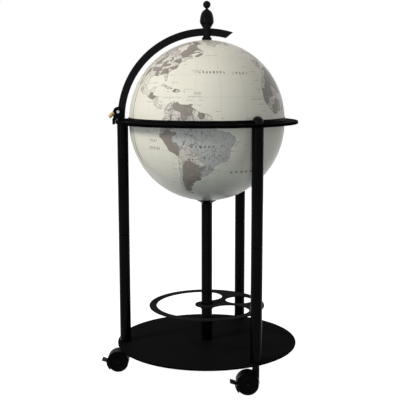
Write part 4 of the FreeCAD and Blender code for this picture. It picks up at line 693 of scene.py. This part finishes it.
def feed(tree, shader, socket, value):
    """Links a varying value into one socket of the shader."""
    tree.links.new(value, shader.inputs[socket])


def raise_bump(tree, shader, height, depth):
    """A bump of a depth in metres that feeds the shader's normal."""
    bump = add(tree, "ShaderNodeBump", {"Height": height, "Distance": depth, "Strength": 1.0})
    feed(tree, shader, "Normal", bump.outputs[0])


def painted(name, colour, roughness, specular, grain=1100.0, depth=0.00001, dust=0.25, smear=0.12,
            turned=0.0):
    """Painted or moulded black: grain, a wandering tone, dust on top faces and smears in the gloss."""
    finish, tree, shader = new_finish(name, Specular_IOR_Level=specular)
    speckle = place_group(tree, "Speckle", grain=grain)
    handling = place_group(tree, "Handling", dust=dust, smear=smear)
    lighter = tuple(share * PAINT_LIGHT_SHARE + PAINT_LIFT for share in colour)
    toned = tint(tree, ramp(tree, speckle["Tone"], 0.35, 0.65), opaque(colour), opaque(lighter))
    cover = maths(tree, "MULTIPLY", handling["Dust"], DUST_COVER_SHARE)
    dusty = tint(tree, cover, toned, opaque(display(*DUST_SHADES)))
    feed(tree, shader, "Base Color", dusty)
    feed(tree, shader, "Roughness", maths(tree, "ADD", maths(tree, "MULTIPLY", speckle["Tone"], 0.1),
                                          maths(tree, "ADD", handling["Smear"], roughness - 0.05)))
    height = speckle["Height"]
    if turned:
        height = maths(tree, "ADD", height, place_group(tree, "Turned Lines", lines=turned)["Height"])
    raise_bump(tree, shader, height, depth)
    return finish


def plated(name, colour, roughness):
    """Plated steel: fine scratches, a slightly uneven colour and smears."""
    finish, tree, shader = new_finish(name, Metallic=1.0)
    speckle = place_group(tree, "Speckle", grain=1800.0)
    handling = place_group(tree, "Handling", smear=0.25, dust=0.1)
    duller = tuple(share * PLATE_DULL_SHARE for share in colour)
    feed(tree, shader, "Base Color", tint(tree, speckle["Tone"], opaque(colour), opaque(duller)))
    feed(tree, shader, "Roughness", maths(tree, "ADD", handling["Smear"], roughness))
    raise_bump(tree, shader, speckle["Height"], 0.00002)
    return finish


def moulded(name, colour, roughness):
    """Pale moulded plastic: fine grain and a faint unevenness."""
    finish, tree, shader = new_finish(name, Specular_IOR_Level=0.4)
    speckle = place_group(tree, "Speckle", grain=700.0)
    handling = place_group(tree, "Handling", smear=0.2, dust=0.2)
    deeper = tuple(share * MOULD_DEEP_SHARE for share in colour)
    feed(tree, shader, "Base Color", tint(tree, speckle["Tone"], opaque(deeper), opaque(colour)))
    feed(tree, shader, "Roughness", maths(tree, "ADD", handling["Smear"], roughness))
    raise_bump(tree, shader, speckle["Height"], 0.00005)
    return finish


def wooden(name, colour):
    """Pale turned wood: long grain along the peg, with darker pores."""
    finish, tree, shader = new_finish(name, Specular_IOR_Level=0.35, Roughness=0.5)
    stretch = add(tree, "ShaderNodeMapping", {"Vector": object_place(tree), "Scale": (160.0, 900.0, 900.0)})
    grain = noise(tree, 1.0, 5.0, 0.6, stretch.outputs[0])
    darker = tuple(share * WOOD_DARK_SHARE for share in colour)
    feed(tree, shader, "Base Color", tint(tree, ramp(tree, grain, 0.4, 0.68), opaque(colour), opaque(darker)))
    raise_bump(tree, shader, grain, 0.0001)
    return finish


def finish_nodes(finish, *names):
    """Gives CAD nodes a finish in every material slot."""
    for name in names:
        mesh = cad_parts[name].data
        mesh.materials.clear()
        mesh.materials.append(finish)


def grid_quads(rows, columns):
    """Quads between the neighbouring rows and columns of a grid that closes on itself both ways."""
    row = np.arange(rows)[:, None]
    column = np.arange(columns)[None, :]
    above, beside = (row + 1) % rows, (column + 1) % columns
    corners = (row * columns + column, row * columns + beside,
               above * columns + beside, above * columns + column)
    return np.stack(np.broadcast_arrays(*corners), axis=-1).reshape(-1, 4)


def add_piece(name, points, quads, body, slot, *finishes):
    """A mesh piece from points and quads: smooth faces, outward normals, and edges sharp past an angle."""
    first, second, third, fourth = (points[quads[:, corner]] for corner in range(4))
    volume = np.einsum("ij,ij->i", first, np.cross(second, third) + np.cross(third, fourth)).sum()
    if volume < 0:
        quads = quads[:, ::-1]
    mesh = bpy.data.meshes.new(name)
    mesh.from_pydata(points.tolist(), [], quads.tolist())
    mesh.polygons.foreach_set("use_smooth", np.ones(len(quads), dtype=bool))
    mesh.set_sharp_from_angle(angle=math.radians(SHARP_DEGREES))
    for finish in finishes:
        mesh.materials.append(finish)
    piece = bpy.data.objects.new(name, mesh)
    bpy.context.scene.collection.objects.link(piece)
    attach(piece, body)
    return piece


def outline_distance(longitude, latitude, outline):
    """Signed distance in millimetres from points to a closed outline on the globe, positive inside.

    Longitudes are shrunk by the cosine of each point's latitude, so the globe is flat about the point.
    The distance is the least one to any side, and a point is inside when an odd number of sides lies
    to its east."""
    corners = np.array(outline)
    middle = corners[:, 0].mean()
    east = (longitude - middle + 180) % 360 - 180
    shrink = np.cos(np.radians(latitude))
    margin = MAP_REACH / MM_PER_DEGREE
    low, high = corners.min(axis=0), corners.max(axis=0)
    level = (latitude > low[1] - margin) & (latitude < high[1] + margin)
    across = (east > low[0] - middle - margin / shrink) & (east < high[0] - middle + margin / shrink)
    near = np.flatnonzero(level & across)
    distance = np.full(longitude.shape, -MAP_REACH)
    for block in np.array_split(near, len(near) // POINTS_PER_BLOCK + 1):
        x = (corners[:, 0] - middle - east[block, None]) * shrink[block, None]
        y = corners[:, 1] - latitude[block, None]
        next_x, next_y = np.roll(x, -1, axis=1), np.roll(y, -1, axis=1)
        run, rise = next_x - x, next_y - y
        share = np.clip(-(x * run + y * rise) / (run * run + rise * rise), 0, 1)
        gap = np.hypot(x + share * run, y + share * rise).min(axis=1)
        crossing = (y > 0) != (next_y > 0)
        eastward = x - y * run / np.where(crossing, rise, 1) > 0
        within = (crossing & eastward).sum(axis=1) % 2 == 1
        distance[block] = np.clip(np.where(within, gap, -gap) * MM_PER_DEGREE, -MAP_REACH, MAP_REACH)
    return distance


def union_distance(longitude, latitude, outlines):
    """The greatest of several outlines' signed distances."""
    return np.max([outline_distance(longitude, latitude, outline) for outline in outlines.values()], axis=0)


def map_fields(longitude, latitude, scale_longitude):
    """What the print needs at each point: signed distances in millimetres to coasts, lands and lines."""
    ice_east, ice_latitude = np.array(ICE_COAST).T
    ice = np.interp(longitude, ice_east, ice_latitude, period=360) - latitude
    ice = np.clip(ice * MM_PER_DEGREE, -MAP_REACH, MAP_REACH)
    lakes = union_distance(longitude, latitude, LAKES)
    lands = np.maximum(union_distance(longitude, latitude, OUTLINES), ice)
    greenland = outline_distance(longitude, latitude, OUTLINES["greenland"])
    wave = MM_PER_DEGREE * GRATICULE_STEP / math.pi
    shrink = np.cos(np.radians(latitude))
    return {
        "coast": np.minimum(lands, -lakes),
        "grey": outline_distance(longitude, latitude, OUTLINES["south_america"]),
        "pale": np.maximum(np.maximum(union_distance(longitude, latitude, PALE_LANDS), ice), greenland),
        "rose": union_distance(longitude, latitude, ROSE_LANDS),
        "taupe": union_distance(longitude, latitude, TAUPE_LANDS),
        "meridian": np.sin(np.radians(longitude) * 180 / GRATICULE_STEP) * shrink * wave,
        "parallel": np.sin(np.radians(latitude) * 180 / GRATICULE_STEP) * wave,
        "scale": np.sin(np.radians(longitude - scale_longitude)) * shrink * GLOBE_RADIUS / MM,
        "latitude": latitude,
    }


def mark_fields(longitude, latitude):
    """Where each point lies by its nearest row of printed marks.

    Gate is how far in millimetres the point lies outside the row's box. Step counts the row's marks
    from its west end, steps is how many it has, and across runs from -0.5 at the foot of the marks to
    0.5 at their top."""
    small = tuple((*row, round(row[2] / row[3] / SMALL_MARK_PITCH_SHARE)) for row in SMALL_MARK_ROWS)
    gate = np.full(longitude.shape, MAP_REACH)
    fields = {label: np.zeros(longitude.shape) for label in ("step", "steps", "across")}
    for east, north, length, height, count in LARGE_MARK_ROWS + small:
        away = (longitude - east + 180) % 360 - 180
        along = away * math.cos(math.radians(north)) * MM_PER_DEGREE + length / 2
        up = (latitude - north) * MM_PER_DEGREE
        outside = np.maximum(np.abs(along - length / 2) - length / 2, np.abs(up) - height / 2)
        closer = outside < gate
        gate = np.where(closer, outside, gate)
        for label, values in (("step", along / length * count), ("steps", count), ("across", up / height)):
            fields[label] = np.where(closer, values, fields[label])
    return {"gate": gate, **fields}


def bent_place(tree, scale, reach):
    """Object coordinates pushed about by noise, up to a reach in metres."""
    push = add(tree, "ShaderNodeVectorMath", {0: noise_colour(tree, scale), 1: (reach, reach, reach)},
               operation="MULTIPLY").outputs[0]
    return add(tree, "ShaderNodeVectorMath", {0: object_place(tree), 1: push}, operation="ADD").outputs[0]


def country_cells(tree, settings):
    """Small countries as bent cells in four shades, with the mask of the lines between them."""
    place = bent_place(tree, 60.0, 0.016)
    inputs = {"Vector": place, "Scale": CELLS_PER_METRE}
    cells = add(tree, "ShaderNodeTexVoronoi", inputs)
    edges = add(tree, "ShaderNodeTexVoronoi", inputs, feature="DISTANCE_TO_EDGE")
    pick = add(tree, "ShaderNodeSeparateColor", {0: cells.outputs["Color"]}).outputs["Green"]
    shades = add(tree, "ShaderNodeValToRGB", {"Fac": pick})
    shades.color_ramp.interpolation = "CONSTANT"
    stops = ((0.0, settings.taupe_land), (0.24, settings.pale_land),
             (0.55, settings.rose_land), (0.76, settings.grey_land))
    for place_share, _ in stops[2:]:
        shades.color_ramp.elements.new(place_share)
    for stop, (place_share, colour) in zip(shades.color_ramp.elements, stops):
        stop.position = place_share
        stop.color = opaque(colour)
    between = ramp(tree, edges.outputs["Distance"], 0.02, 0.07, 1.0, 0.0)
    return tint(tree, between, shades.outputs["Color"], opaque(settings.pale_land)), edges.outputs["Distance"]


def river_mask(tree):
    """Meandering rivers: the level lines of bent smooth noises, broken where a broad noise is low."""
    rivers = None
    for scale, level, reach in RIVER_WAVES:
        stretch = add(tree, "ShaderNodeMapping",
                      {"Vector": bent_place(tree, 95.0, reach), "Scale": (1.5, 1.0, 0.8)})
        height = maths(tree, "SUBTRACT", noise(tree, scale, 1.0, 0.4, stretch.outputs[0]), level)
        banks = ramp(tree, maths(tree, "ABSOLUTE", height), 0.003, 0.0002 * scale + 0.005, 1.0, 0.0)
        rivers = banks if rivers is None else maths(tree, "MAXIMUM", rivers, banks)
    return maths(tree, "MULTIPLY", rivers, ramp(tree, noise(tree, 34.0, 1.0), 0.38, 0.52, 0.3, 1.0))


def mark_mask(tree):
    """Rows of small printed marks: each row is cut into cells, and chance inks parts of each cell."""
    across, step, steps = field(tree, "across"), field(tree, "step"), field(tree, "steps")
    within = maths(tree, "FRACT", step)
    stroke = maths(tree, "FLOOR", maths(tree, "MULTIPLY", step, STROKES_PER_MARK))
    storey = maths(tree, "FLOOR", maths(tree, "MULTIPLY", across, STOREYS_PER_MARK))
    seed = add(tree, "ShaderNodeCombineXYZ", {0: stroke, 1: storey, 2: steps}).outputs[0]
    chance = add(tree, "ShaderNodeTexWhiteNoise", {"Vector": seed}).outputs["Value"]
    inked = maths(tree, "GREATER_THAN", chance, GAP_CHANCE)
    limits = ((within, 0.17, 0.67), (across, -0.5, 0.5), (step, 0.0, steps),
              (field(tree, "gate"), -99.0, 2.5))
    for value, low, high in limits:
        inked = maths(tree, "MULTIPLY", inked, maths(tree, "GREATER_THAN", value, low))
        inked = maths(tree, "MULTIPLY", inked, maths(tree, "LESS_THAN", value, high))
    return inked


def map_lines(tree):
    """The sea's lines: graticule, tropics and a graduated scale with a tick at each degree."""
    net = maths(tree, "MAXIMUM", line(tree, field(tree, "meridian"), NET_HALF_LINE),
                line(tree, field(tree, "parallel"), NET_HALF_LINE))
    tropic = maths(tree, "SUBTRACT", maths(tree, "ABSOLUTE", field(tree, "latitude")), TROPIC_LATITUDE)
    swing = maths(tree, "SINE", maths(tree, "MULTIPLY", field(tree, "meridian"), 1.3))
    dash = maths(tree, "GREATER_THAN", swing, 0.0)
    tropics = maths(tree, "MULTIPLY", ramp(tree, maths(tree, "ABSOLUTE", tropic), 0.04, 0.1, 1.0, 0.0), dash)
    scale = field(tree, "scale")
    beside = maths(tree, "MULTIPLY", maths(tree, "GREATER_THAN", scale, 0.0),
                   maths(tree, "LESS_THAN", scale, TICK_LENGTH))
    degree_wave = maths(tree, "COSINE", maths(tree, "MULTIPLY", field(tree, "latitude"), math.tau))
    tick = maths(tree, "GREATER_THAN", degree_wave, 0.7)
    ruled = maths(tree, "MAXIMUM", line(tree, scale, SCALE_HALF_LINE), maths(tree, "MULTIPLY", beside, tick))
    faint = maths(tree, "MULTIPLY", maths(tree, "MAXIMUM", net, tropics), NET_INK_SHARE)
    return maths(tree, "MAXIMUM", faint, maths(tree, "MULTIPLY", ruled, SCALE_INK_SHARE))


def globe_print(settings):
    """The lacquered map from the mesh's fields: seas, lands, borders, rivers, lines and rows of marks."""
    finish, tree, shader = new_finish("globe_print", Specular_IOR_Level=0.2, Coat_Weight=0.25,
                                      Coat_Roughness=0.25)
    ragged = maths(tree, "MULTIPLY", maths(tree, "SUBTRACT", noise(tree, 75.0, 6.0, 0.6), 0.5), 5.0)
    coast = maths(tree, "ADD", field(tree, "coast"), ragged)
    bent = maths(tree, "MULTIPLY", maths(tree, "SUBTRACT", noise(tree, 70.0, 4.0), 0.5), 5.0)
    grey, pale, rose, taupe = (maths(tree, "ADD", field(tree, name), bent)
                               for name in ("grey", "pale", "rose", "taupe"))
    countries, cell_edge = country_cells(tree, settings)
    for distance, colour in ((grey, settings.grey_land), (pale, settings.pale_land),
                             (rose, settings.rose_land), (taupe, settings.taupe_land)):
        countries = tint(tree, inside(tree, distance), countries, opaque(colour))
    pale_or_rose = maths(tree, "MAXIMUM", pale, rose)
    light_land = maths(tree, "SUBTRACT", inside(tree, maths(tree, "MAXIMUM", grey, pale_or_rose)),
                       inside(tree, taupe))
    printed_land = maths(tree, "SUBTRACT", inside(tree, pale_or_rose), inside(tree, taupe))
    province = maths(tree, "MULTIPLY", ramp(tree, cell_edge, 0.012, 0.035, 0.5, 0.0), printed_land)
    rivers = maths(tree, "MULTIPLY", river_mask(tree), light_land)
    streams = maths(tree, "MULTIPLY", rivers, RIVER_INK_SHARE)
    pale_edge, rose_edge, taupe_edge = (line(tree, land, BORDER_HALF_LINE) for land in (pale, rose, taupe))
    borders = maths(tree, "MAXIMUM", maths(tree, "MAXIMUM", pale_edge, rose_edge), taupe_edge)
    inked = maths(tree, "MAXIMUM", maths(tree, "MULTIPLY", borders, BORDER_INK_SHARE),
                  maths(tree, "MAXIMUM", streams, province))
    countries = tint(tree, inked, countries, opaque(settings.ink))
    relief = noise(tree, 120.0, 4.0, 0.65)
    countries = tint(tree, ramp(tree, relief, 0.5, 0.75, 0.0, 0.2), countries, opaque(settings.ink))
    countries = tint(tree, ramp(tree, relief, 0.5, 0.25, 0.0, 0.2), countries, opaque(settings.pale_land))
    deeper_sea = tuple(share * DEEP_SEA_SHARE for share in settings.sea)
    seas = tint(tree, ramp(tree, noise(tree, 9.0, 5.0, 0.6), 0.35, 0.65),
                opaque(settings.sea), opaque(deeper_sea))
    seas = tint(tree, map_lines(tree), seas, opaque(settings.ink))
    print_colour = tint(tree, inside(tree, coast), seas, countries)
    shore = maths(tree, "MULTIPLY", line(tree, coast, COAST_HALF_LINE, COAST_SOFTNESS), SHORE_INK_SHARE)
    marked = maths(tree, "MAXIMUM", shore, maths(tree, "MULTIPLY", mark_mask(tree), MARK_INK_SHARE))
    feed(tree, shader, "Base Color", tint(tree, marked, print_colour, opaque(settings.ink)))
    handling = place_group(tree, "Handling", smear=0.05, dust=0.0)
    feed(tree, shader, "Roughness", maths(tree, "ADD", handling["Smear"], settings.gloss))
    raise_bump(tree, shader, noise(tree, 30.0, 2.0), 0.00008)
    return finish


def noise_colour(tree, scale):
    """Noise with three separate channels, for bending a pattern."""
    inputs = {"Vector": object_place(tree), "Scale": scale, "Detail": 3.0}
    return add(tree, "ShaderNodeTexNoise", inputs).outputs["Color"]


def half_globe(name, settings, centre, pole_side, hole_radius, finishes):
    """One half as a shell of revolution: radius times the cosine and sine of the latitude.

    The outer rows run from the rim to the hole at the pole and carry the map's fields, and the inner
    rows run back to the rim."""
    bore = GLOBE_RADIUS - GLOBE_WALL
    outer_latitude = np.linspace(0, math.acos(hole_radius / GLOBE_RADIUS), settings.rows)
    inner_latitude = np.linspace(math.acos(hole_radius / bore), 0, INNER_ROWS)
    latitude = np.concatenate((outer_latitude, inner_latitude))
    radius = np.concatenate((np.full(settings.rows, GLOBE_RADIUS), np.full(INNER_ROWS, bore)))
    azimuth = np.linspace(0, 2 * math.pi, settings.columns, endpoint=False)
    level = (radius * np.cos(latitude))[:, None]
    height = (centre + pole_side * radius * np.sin(latitude))[:, None]
    rise = np.broadcast_to(height, (len(radius), settings.columns))
    points = np.stack((level * np.cos(azimuth), level * np.sin(azimuth), rise), axis=-1).reshape(-1, 3)
    quads = grid_quads(len(radius), settings.columns)
    piece = add_piece(name, points, quads, *finishes)
    turn = (azimuth - settings.facing_azimuth + math.pi) % (2 * math.pi) - math.pi
    longitude = np.degrees(settings.facing_longitude + turn - settings.spread * np.sin(turn))
    north = pole_side * outer_latitude
    lift = settings.north_lift if pole_side > 0 else settings.south_lift
    map_latitude = np.degrees(north - lift * np.sin(2 * north))
    grid = np.meshgrid(longitude, map_latitude)
    east, up = grid[0].ravel(), grid[1].ravel()
    fields = map_fields(east, up, math.degrees(settings.scale_longitude)) | mark_fields(east, up)
    for label, values in fields.items():
        plain = np.full(INNER_ROWS * settings.columns, -MAP_REACH)
        attribute = piece.data.attributes.new(label, "FLOAT", "POINT")
        attribute.data.foreach_set("value", np.concatenate((values, plain)).astype(np.float32))
    printed_quads = (settings.rows - 1) * settings.columns
    inner = np.arange(len(quads)) >= printed_quads
    piece.data.polygons.foreach_set("material_index", inner.astype(np.int32))
    return piece


class PrintedGlobe(bpy.types.Operator):
    """Builds the two printed halves of the globe"""

    bl_idname = "globe_bar.printed_globe"
    bl_label = "Printed Globe"

    def execute(self, context):
        settings = context.scene.globe_print
        lining = moulded("shell_lining", context.scene.finishes.inner_cream, 0.42)
        printed = globe_print(settings)
        upper_hole = math.sqrt(GLOBE_RADIUS ** 2 - (UPPER_SHELL[1].z - UPPER_SHELL[0].z) ** 2)
        lower_hole = math.sqrt(GLOBE_RADIUS ** 2 - (LOWER_SHELL[1].z - LOWER_SHELL[0].z) ** 2)
        upper = half_globe("globe_north_half", settings, UPPER_SHELL[0].z, 1, upper_hole,
                           ("upper_globe", "globe_print", printed, lining))
        lower = half_globe("globe_south_half", settings, LOWER_SHELL[1].z, -1, lower_hole,
                           ("lower_globe", "globe_print", printed, lining))
        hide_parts("upper_shell")
        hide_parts("lower_shell")
        return {"FINISHED"}


class StandFinish(bpy.types.Operator):
    """Gives the stand, the ring and the meridian arc their black coats, the arc's lighter with painted sheen
    """

    bl_idname = "globe_bar.stand_finish"
    bl_label = "Stand Finish"

    def execute(self, context):
        finishes = context.scene.finishes
        coat = painted("powder_coat", finishes.frame_black, 0.14, 0.03, smear=0.05)
        flat = painted("flat_coat", finishes.frame_black, **FLAT_COAT)
        gloss = painted("black_lacquer", finishes.gloss_black, **LACQUER)
        turned = painted("turned_lacquer", finishes.gloss_black, **LACQUER, turned=2.0)
        # The arc's lighter black is a painted sheen over its black coat
        arc = painted("arc_coat", finishes.arc_sheen_black, 0.35, 0.03)
        rack = painted("rack_coat", finishes.rack_black, **FLAT_COAT)
        tubes = [f"leg_{part}_{leg}" for part in ("lower", "upper") for leg in CASTER_LEGS]
        finish_nodes(coat, *tubes, "centre_post", "rack_collar", "south_seat", "hinge_bracket")
        finish_nodes(arc, "meridian_arc")
        finish_nodes(rack, "bottle_rack")
        finish_nodes(flat, "base_plate", "horizon_ring")
        finish_nodes(gloss, "leg_cap_front", "leg_cap_back")
        finish_nodes(turned, "finial", "north_collar")
        return {"FINISHED"}


class RimTrim(bpy.types.Operator):
    """Gives the rim bands at the seam their black plastic"""

    bl_idname = "globe_bar.rim_trim"
    bl_label = "Rim Trim"

    def execute(self, context):
        trim = painted("rim_plastic", context.scene.finishes.trim_black, 0.4, 0.03, grain=700.0)
        finish_nodes(trim, "upper_rim_band", "lower_rim_band")
        return {"FINISHED"}


class BarInside(bpy.types.Operator):
    """Gives the tray, the wells and the hubs inside the globe their moulded plastic"""

    bl_idname = "globe_bar.bar_inside"
    bl_label = "Bar Inside"

    def execute(self, context):
        tray = moulded("tray_plastic", context.scene.finishes.tray_plastic, 0.38)
        plug = painted("plug_plastic", context.scene.finishes.caster_black, 0.5, 0.3)
        finish_nodes(tray, "serving_tray", "bottle_well_1", "bottle_well_2", "bottle_well_3")
        finish_nodes(plug, "north_hub", "south_hub", "leg_foot_inserts", "leg_top_plugs", "post_foot_plug")
        return {"FINISHED"}


class HingeHardware(bpy.types.Operator):
    """Gives the screws, pins, nuts and the stop peg their finishes"""

    bl_idname = "globe_bar.hinge_hardware"
    bl_label = "Hinge Hardware"

    def execute(self, context):
        steel = plated("plated_steel", context.scene.finishes.steel, 0.22)
        wood = wooden("peg_wood", context.scene.finishes.peg_wood)
        dull = plated("dull_steel", context.scene.finishes.dull_steel, 0.4)
        finish_nodes(dull, "bracket_screws")
        finish_nodes(steel, "hinge_pin", "pivot_spindle", "pivot_nut", "pole_rod", "pole_nut",
                     "leg_joint_studs", "rack_set_screw", "post_foot_bolt")
        finish_nodes(wood, "stop_peg")
        return {"FINISHED"}


class BrakedCasters(bpy.types.Operator):
    """Gives the three casters their nylon, rubber and steel"""

    bl_idname = "globe_bar.braked_casters"
    bl_label = "Braked Casters"

    def execute(self, context):
        finishes = context.scene.finishes
        nylon = painted("caster_nylon", finishes.caster_black, 0.38, 0.025, grain=800.0)
        rubber = painted("wheel_rubber", finishes.tread_grey, 0.6, 0.02, grain=600.0)
        stem = painted("blackened_steel", finishes.dark_steel, 0.35, 0.05, grain=1500.0)
        for leg in CASTER_LEGS:
            finish_nodes(nylon, f"caster_hood_{leg}", f"caster_brake_{leg}")
            finish_nodes(rubber, f"caster_wheel_a_{leg}", f"caster_wheel_b_{leg}")
            finish_nodes(stem, f"caster_stem_{leg}", f"caster_axle_{leg}")
        finish_nodes(stem, "caster_sockets")
        return {"FINISHED"}


def seen_directly(tree):
    """A mask that is 1 for what the lens sees straight, mirrored or through glass."""
    path = add(tree, "ShaderNodeLightPath").outputs
    mirrored = maths(tree, "MAXIMUM", path["Is Glossy Ray"], path["Is Transmission Ray"])
    return maths(tree, "MAXIMUM", path["Is Camera Ray"], mirrored)


def studio_floor(colour):
    """Pale floor that reads white straight on, and still takes a faint shadow."""
    finish = bpy.data.materials.new("studio_floor")
    finish.use_nodes = True
    tree = finish.node_tree
    tree.nodes.clear()
    speck = ramp(tree, noise(tree, 3.0, 4.0), 0.3, 0.7)
    paler = tuple(min(1.0, share * 1.03) for share in colour)
    matt = add(tree, "ShaderNodeBsdfDiffuse", {"Color": tint(tree, speck, opaque(colour), opaque(paler))})
    faint = add(tree, "ShaderNodeBsdfDiffuse", {"Color": opaque(FLOOR_SHADOW_GREY)})
    white = add(tree, "ShaderNodeEmission", {"Color": WHITE, "Strength": FLOOR_WHITE})
    shown = add(tree, "ShaderNodeAddShader", {0: faint.outputs[0], 1: white.outputs[0]})
    mixed = add(tree, "ShaderNodeMixShader",
                {0: seen_directly(tree), 1: matt.outputs[0], 2: shown.outputs[0]})
    add(tree, "ShaderNodeOutputMaterial", {"Surface": mixed.outputs[0]})
    return finish


def add_lamp(name, power, tone, width, height, place, target, mirrored):
    """A soft lamp box that looks at a target, and that gloss may mirror."""
    lamp = bpy.data.lights.new(name, "AREA")
    lamp.energy = power
    lamp.color = tone
    lamp.shape = "RECTANGLE"
    lamp.size = width
    lamp.size_y = height
    made = bpy.data.objects.new(name, lamp)
    made.location = place
    made.visible_glossy = mirrored
    made.rotation_euler = (Vector(target) - Vector(place)).to_track_quat("-Z", "Y").to_euler()
    bpy.context.scene.collection.objects.link(made)


class StudioStage(bpy.types.Operator):
    """Builds the floor, the soft light, the white surround and the camera"""

    bl_idname = "globe_bar.studio_stage"
    bl_label = "Studio Stage"

    def execute(self, context):
        scene = context.scene
        studio = scene.studio
        half = FLOOR_HALF_WIDTH
        floor_mesh = bpy.data.meshes.new("studio_floor")
        corners = np.array(((-half, -half, 0), (half, -half, 0), (half, half, 0), (-half, half, 0)))
        floor_mesh.from_pydata(corners.tolist(), [], [(0, 1, 2, 3)])
        floor_mesh.materials.append(studio_floor(studio.floor))
        floor = bpy.data.objects.new("studio_floor", floor_mesh)
        scene.collection.objects.link(floor)
        world = bpy.data.worlds.new("studio_surround")
        world.use_nodes = True
        tree = world.node_tree
        tree.nodes.clear()
        level = maths(tree, "MULTIPLY_ADD", seen_directly(tree), 1.0 - studio.ambient)
        level.node.inputs[2].default_value = studio.ambient
        surround = add(tree, "ShaderNodeBackground", {"Color": WHITE, "Strength": level})
        add(tree, "ShaderNodeOutputWorld", {"Surface": surround.outputs[0]})
        scene.world = world
        globe = (0, 0, UPPER_SHELL[0].z)
        for label, (tone, width, height, place, mirrored) in LAMPS.items():
            power = getattr(studio, f"{label}_power")
            add_lamp(f"{label}_lamp", power, getattr(studio, tone), width, height, place, globe, mirrored)
        lens = bpy.data.cameras.new("studio_camera")
        lens.lens = studio.lens
        lens.shift_x = studio.shift
        camera = bpy.data.objects.new("studio_camera", lens)
        camera.location = (math.sin(studio.camera_azimuth) * studio.camera_distance,
                           -math.cos(studio.camera_azimuth) * studio.camera_distance, studio.camera_height)
        camera.rotation_euler = (studio.camera_tilt, 0, studio.camera_azimuth)
        scene.collection.objects.link(camera)
        scene.camera = camera
        scene.view_settings.view_transform = "Standard"
        return {"FINISHED"}


class GlobeBarPanel(bpy.types.Panel):
    """Lists the globe bar's builders and their settings"""

    bl_idname = "VIEW3D_PT_globe_bar"
    bl_label = "Globe Bar"
    bl_space_type = "VIEW_3D"
    bl_region_type = "UI"
    bl_category = "Globe Bar"

    def draw(self, context):
        for operator in OPERATORS:
            self.layout.operator(operator.bl_idname)
        for label in SETTINGS:
            settings = getattr(context.scene, label)
            box = self.layout.box()
            for name in settings.__annotations__:
                box.prop(settings, name)


OPERATORS = (PrintedGlobe, StandFinish, RimTrim, BarInside, HingeHardware, BrakedCasters, StudioStage)
SETTINGS = {"globe_print": GlobePrintSettings, "finishes": FinishSettings, "studio": StudioSettings}


def register():
    """Registers the settings, the operators and the panel."""
    for label, group in SETTINGS.items():
        bpy.utils.register_class(group)
        setattr(bpy.types.Scene, label, PointerProperty(type=group))
    for kind in (*OPERATORS, GlobeBarPanel):
        bpy.utils.register_class(kind)


def unregister():
    """Takes back everything that register adds."""
    for kind in (GlobeBarPanel, *reversed(OPERATORS)):
        bpy.utils.unregister_class(kind)
    for label, group in SETTINGS.items():
        delattr(bpy.types.Scene, label)
        bpy.utils.unregister_class(group)


def main():
    register()
    make_speckle_group()
    make_handling_group()
    make_turned_group()
    bpy.ops.globe_bar.printed_globe()
    bpy.ops.globe_bar.stand_finish()
    bpy.ops.globe_bar.rim_trim()
    bpy.ops.globe_bar.bar_inside()
    bpy.ops.globe_bar.hinge_hardware()
    bpy.ops.globe_bar.braked_casters()
    bpy.ops.globe_bar.studio_stage()


if __name__ == "__main__":
    main()
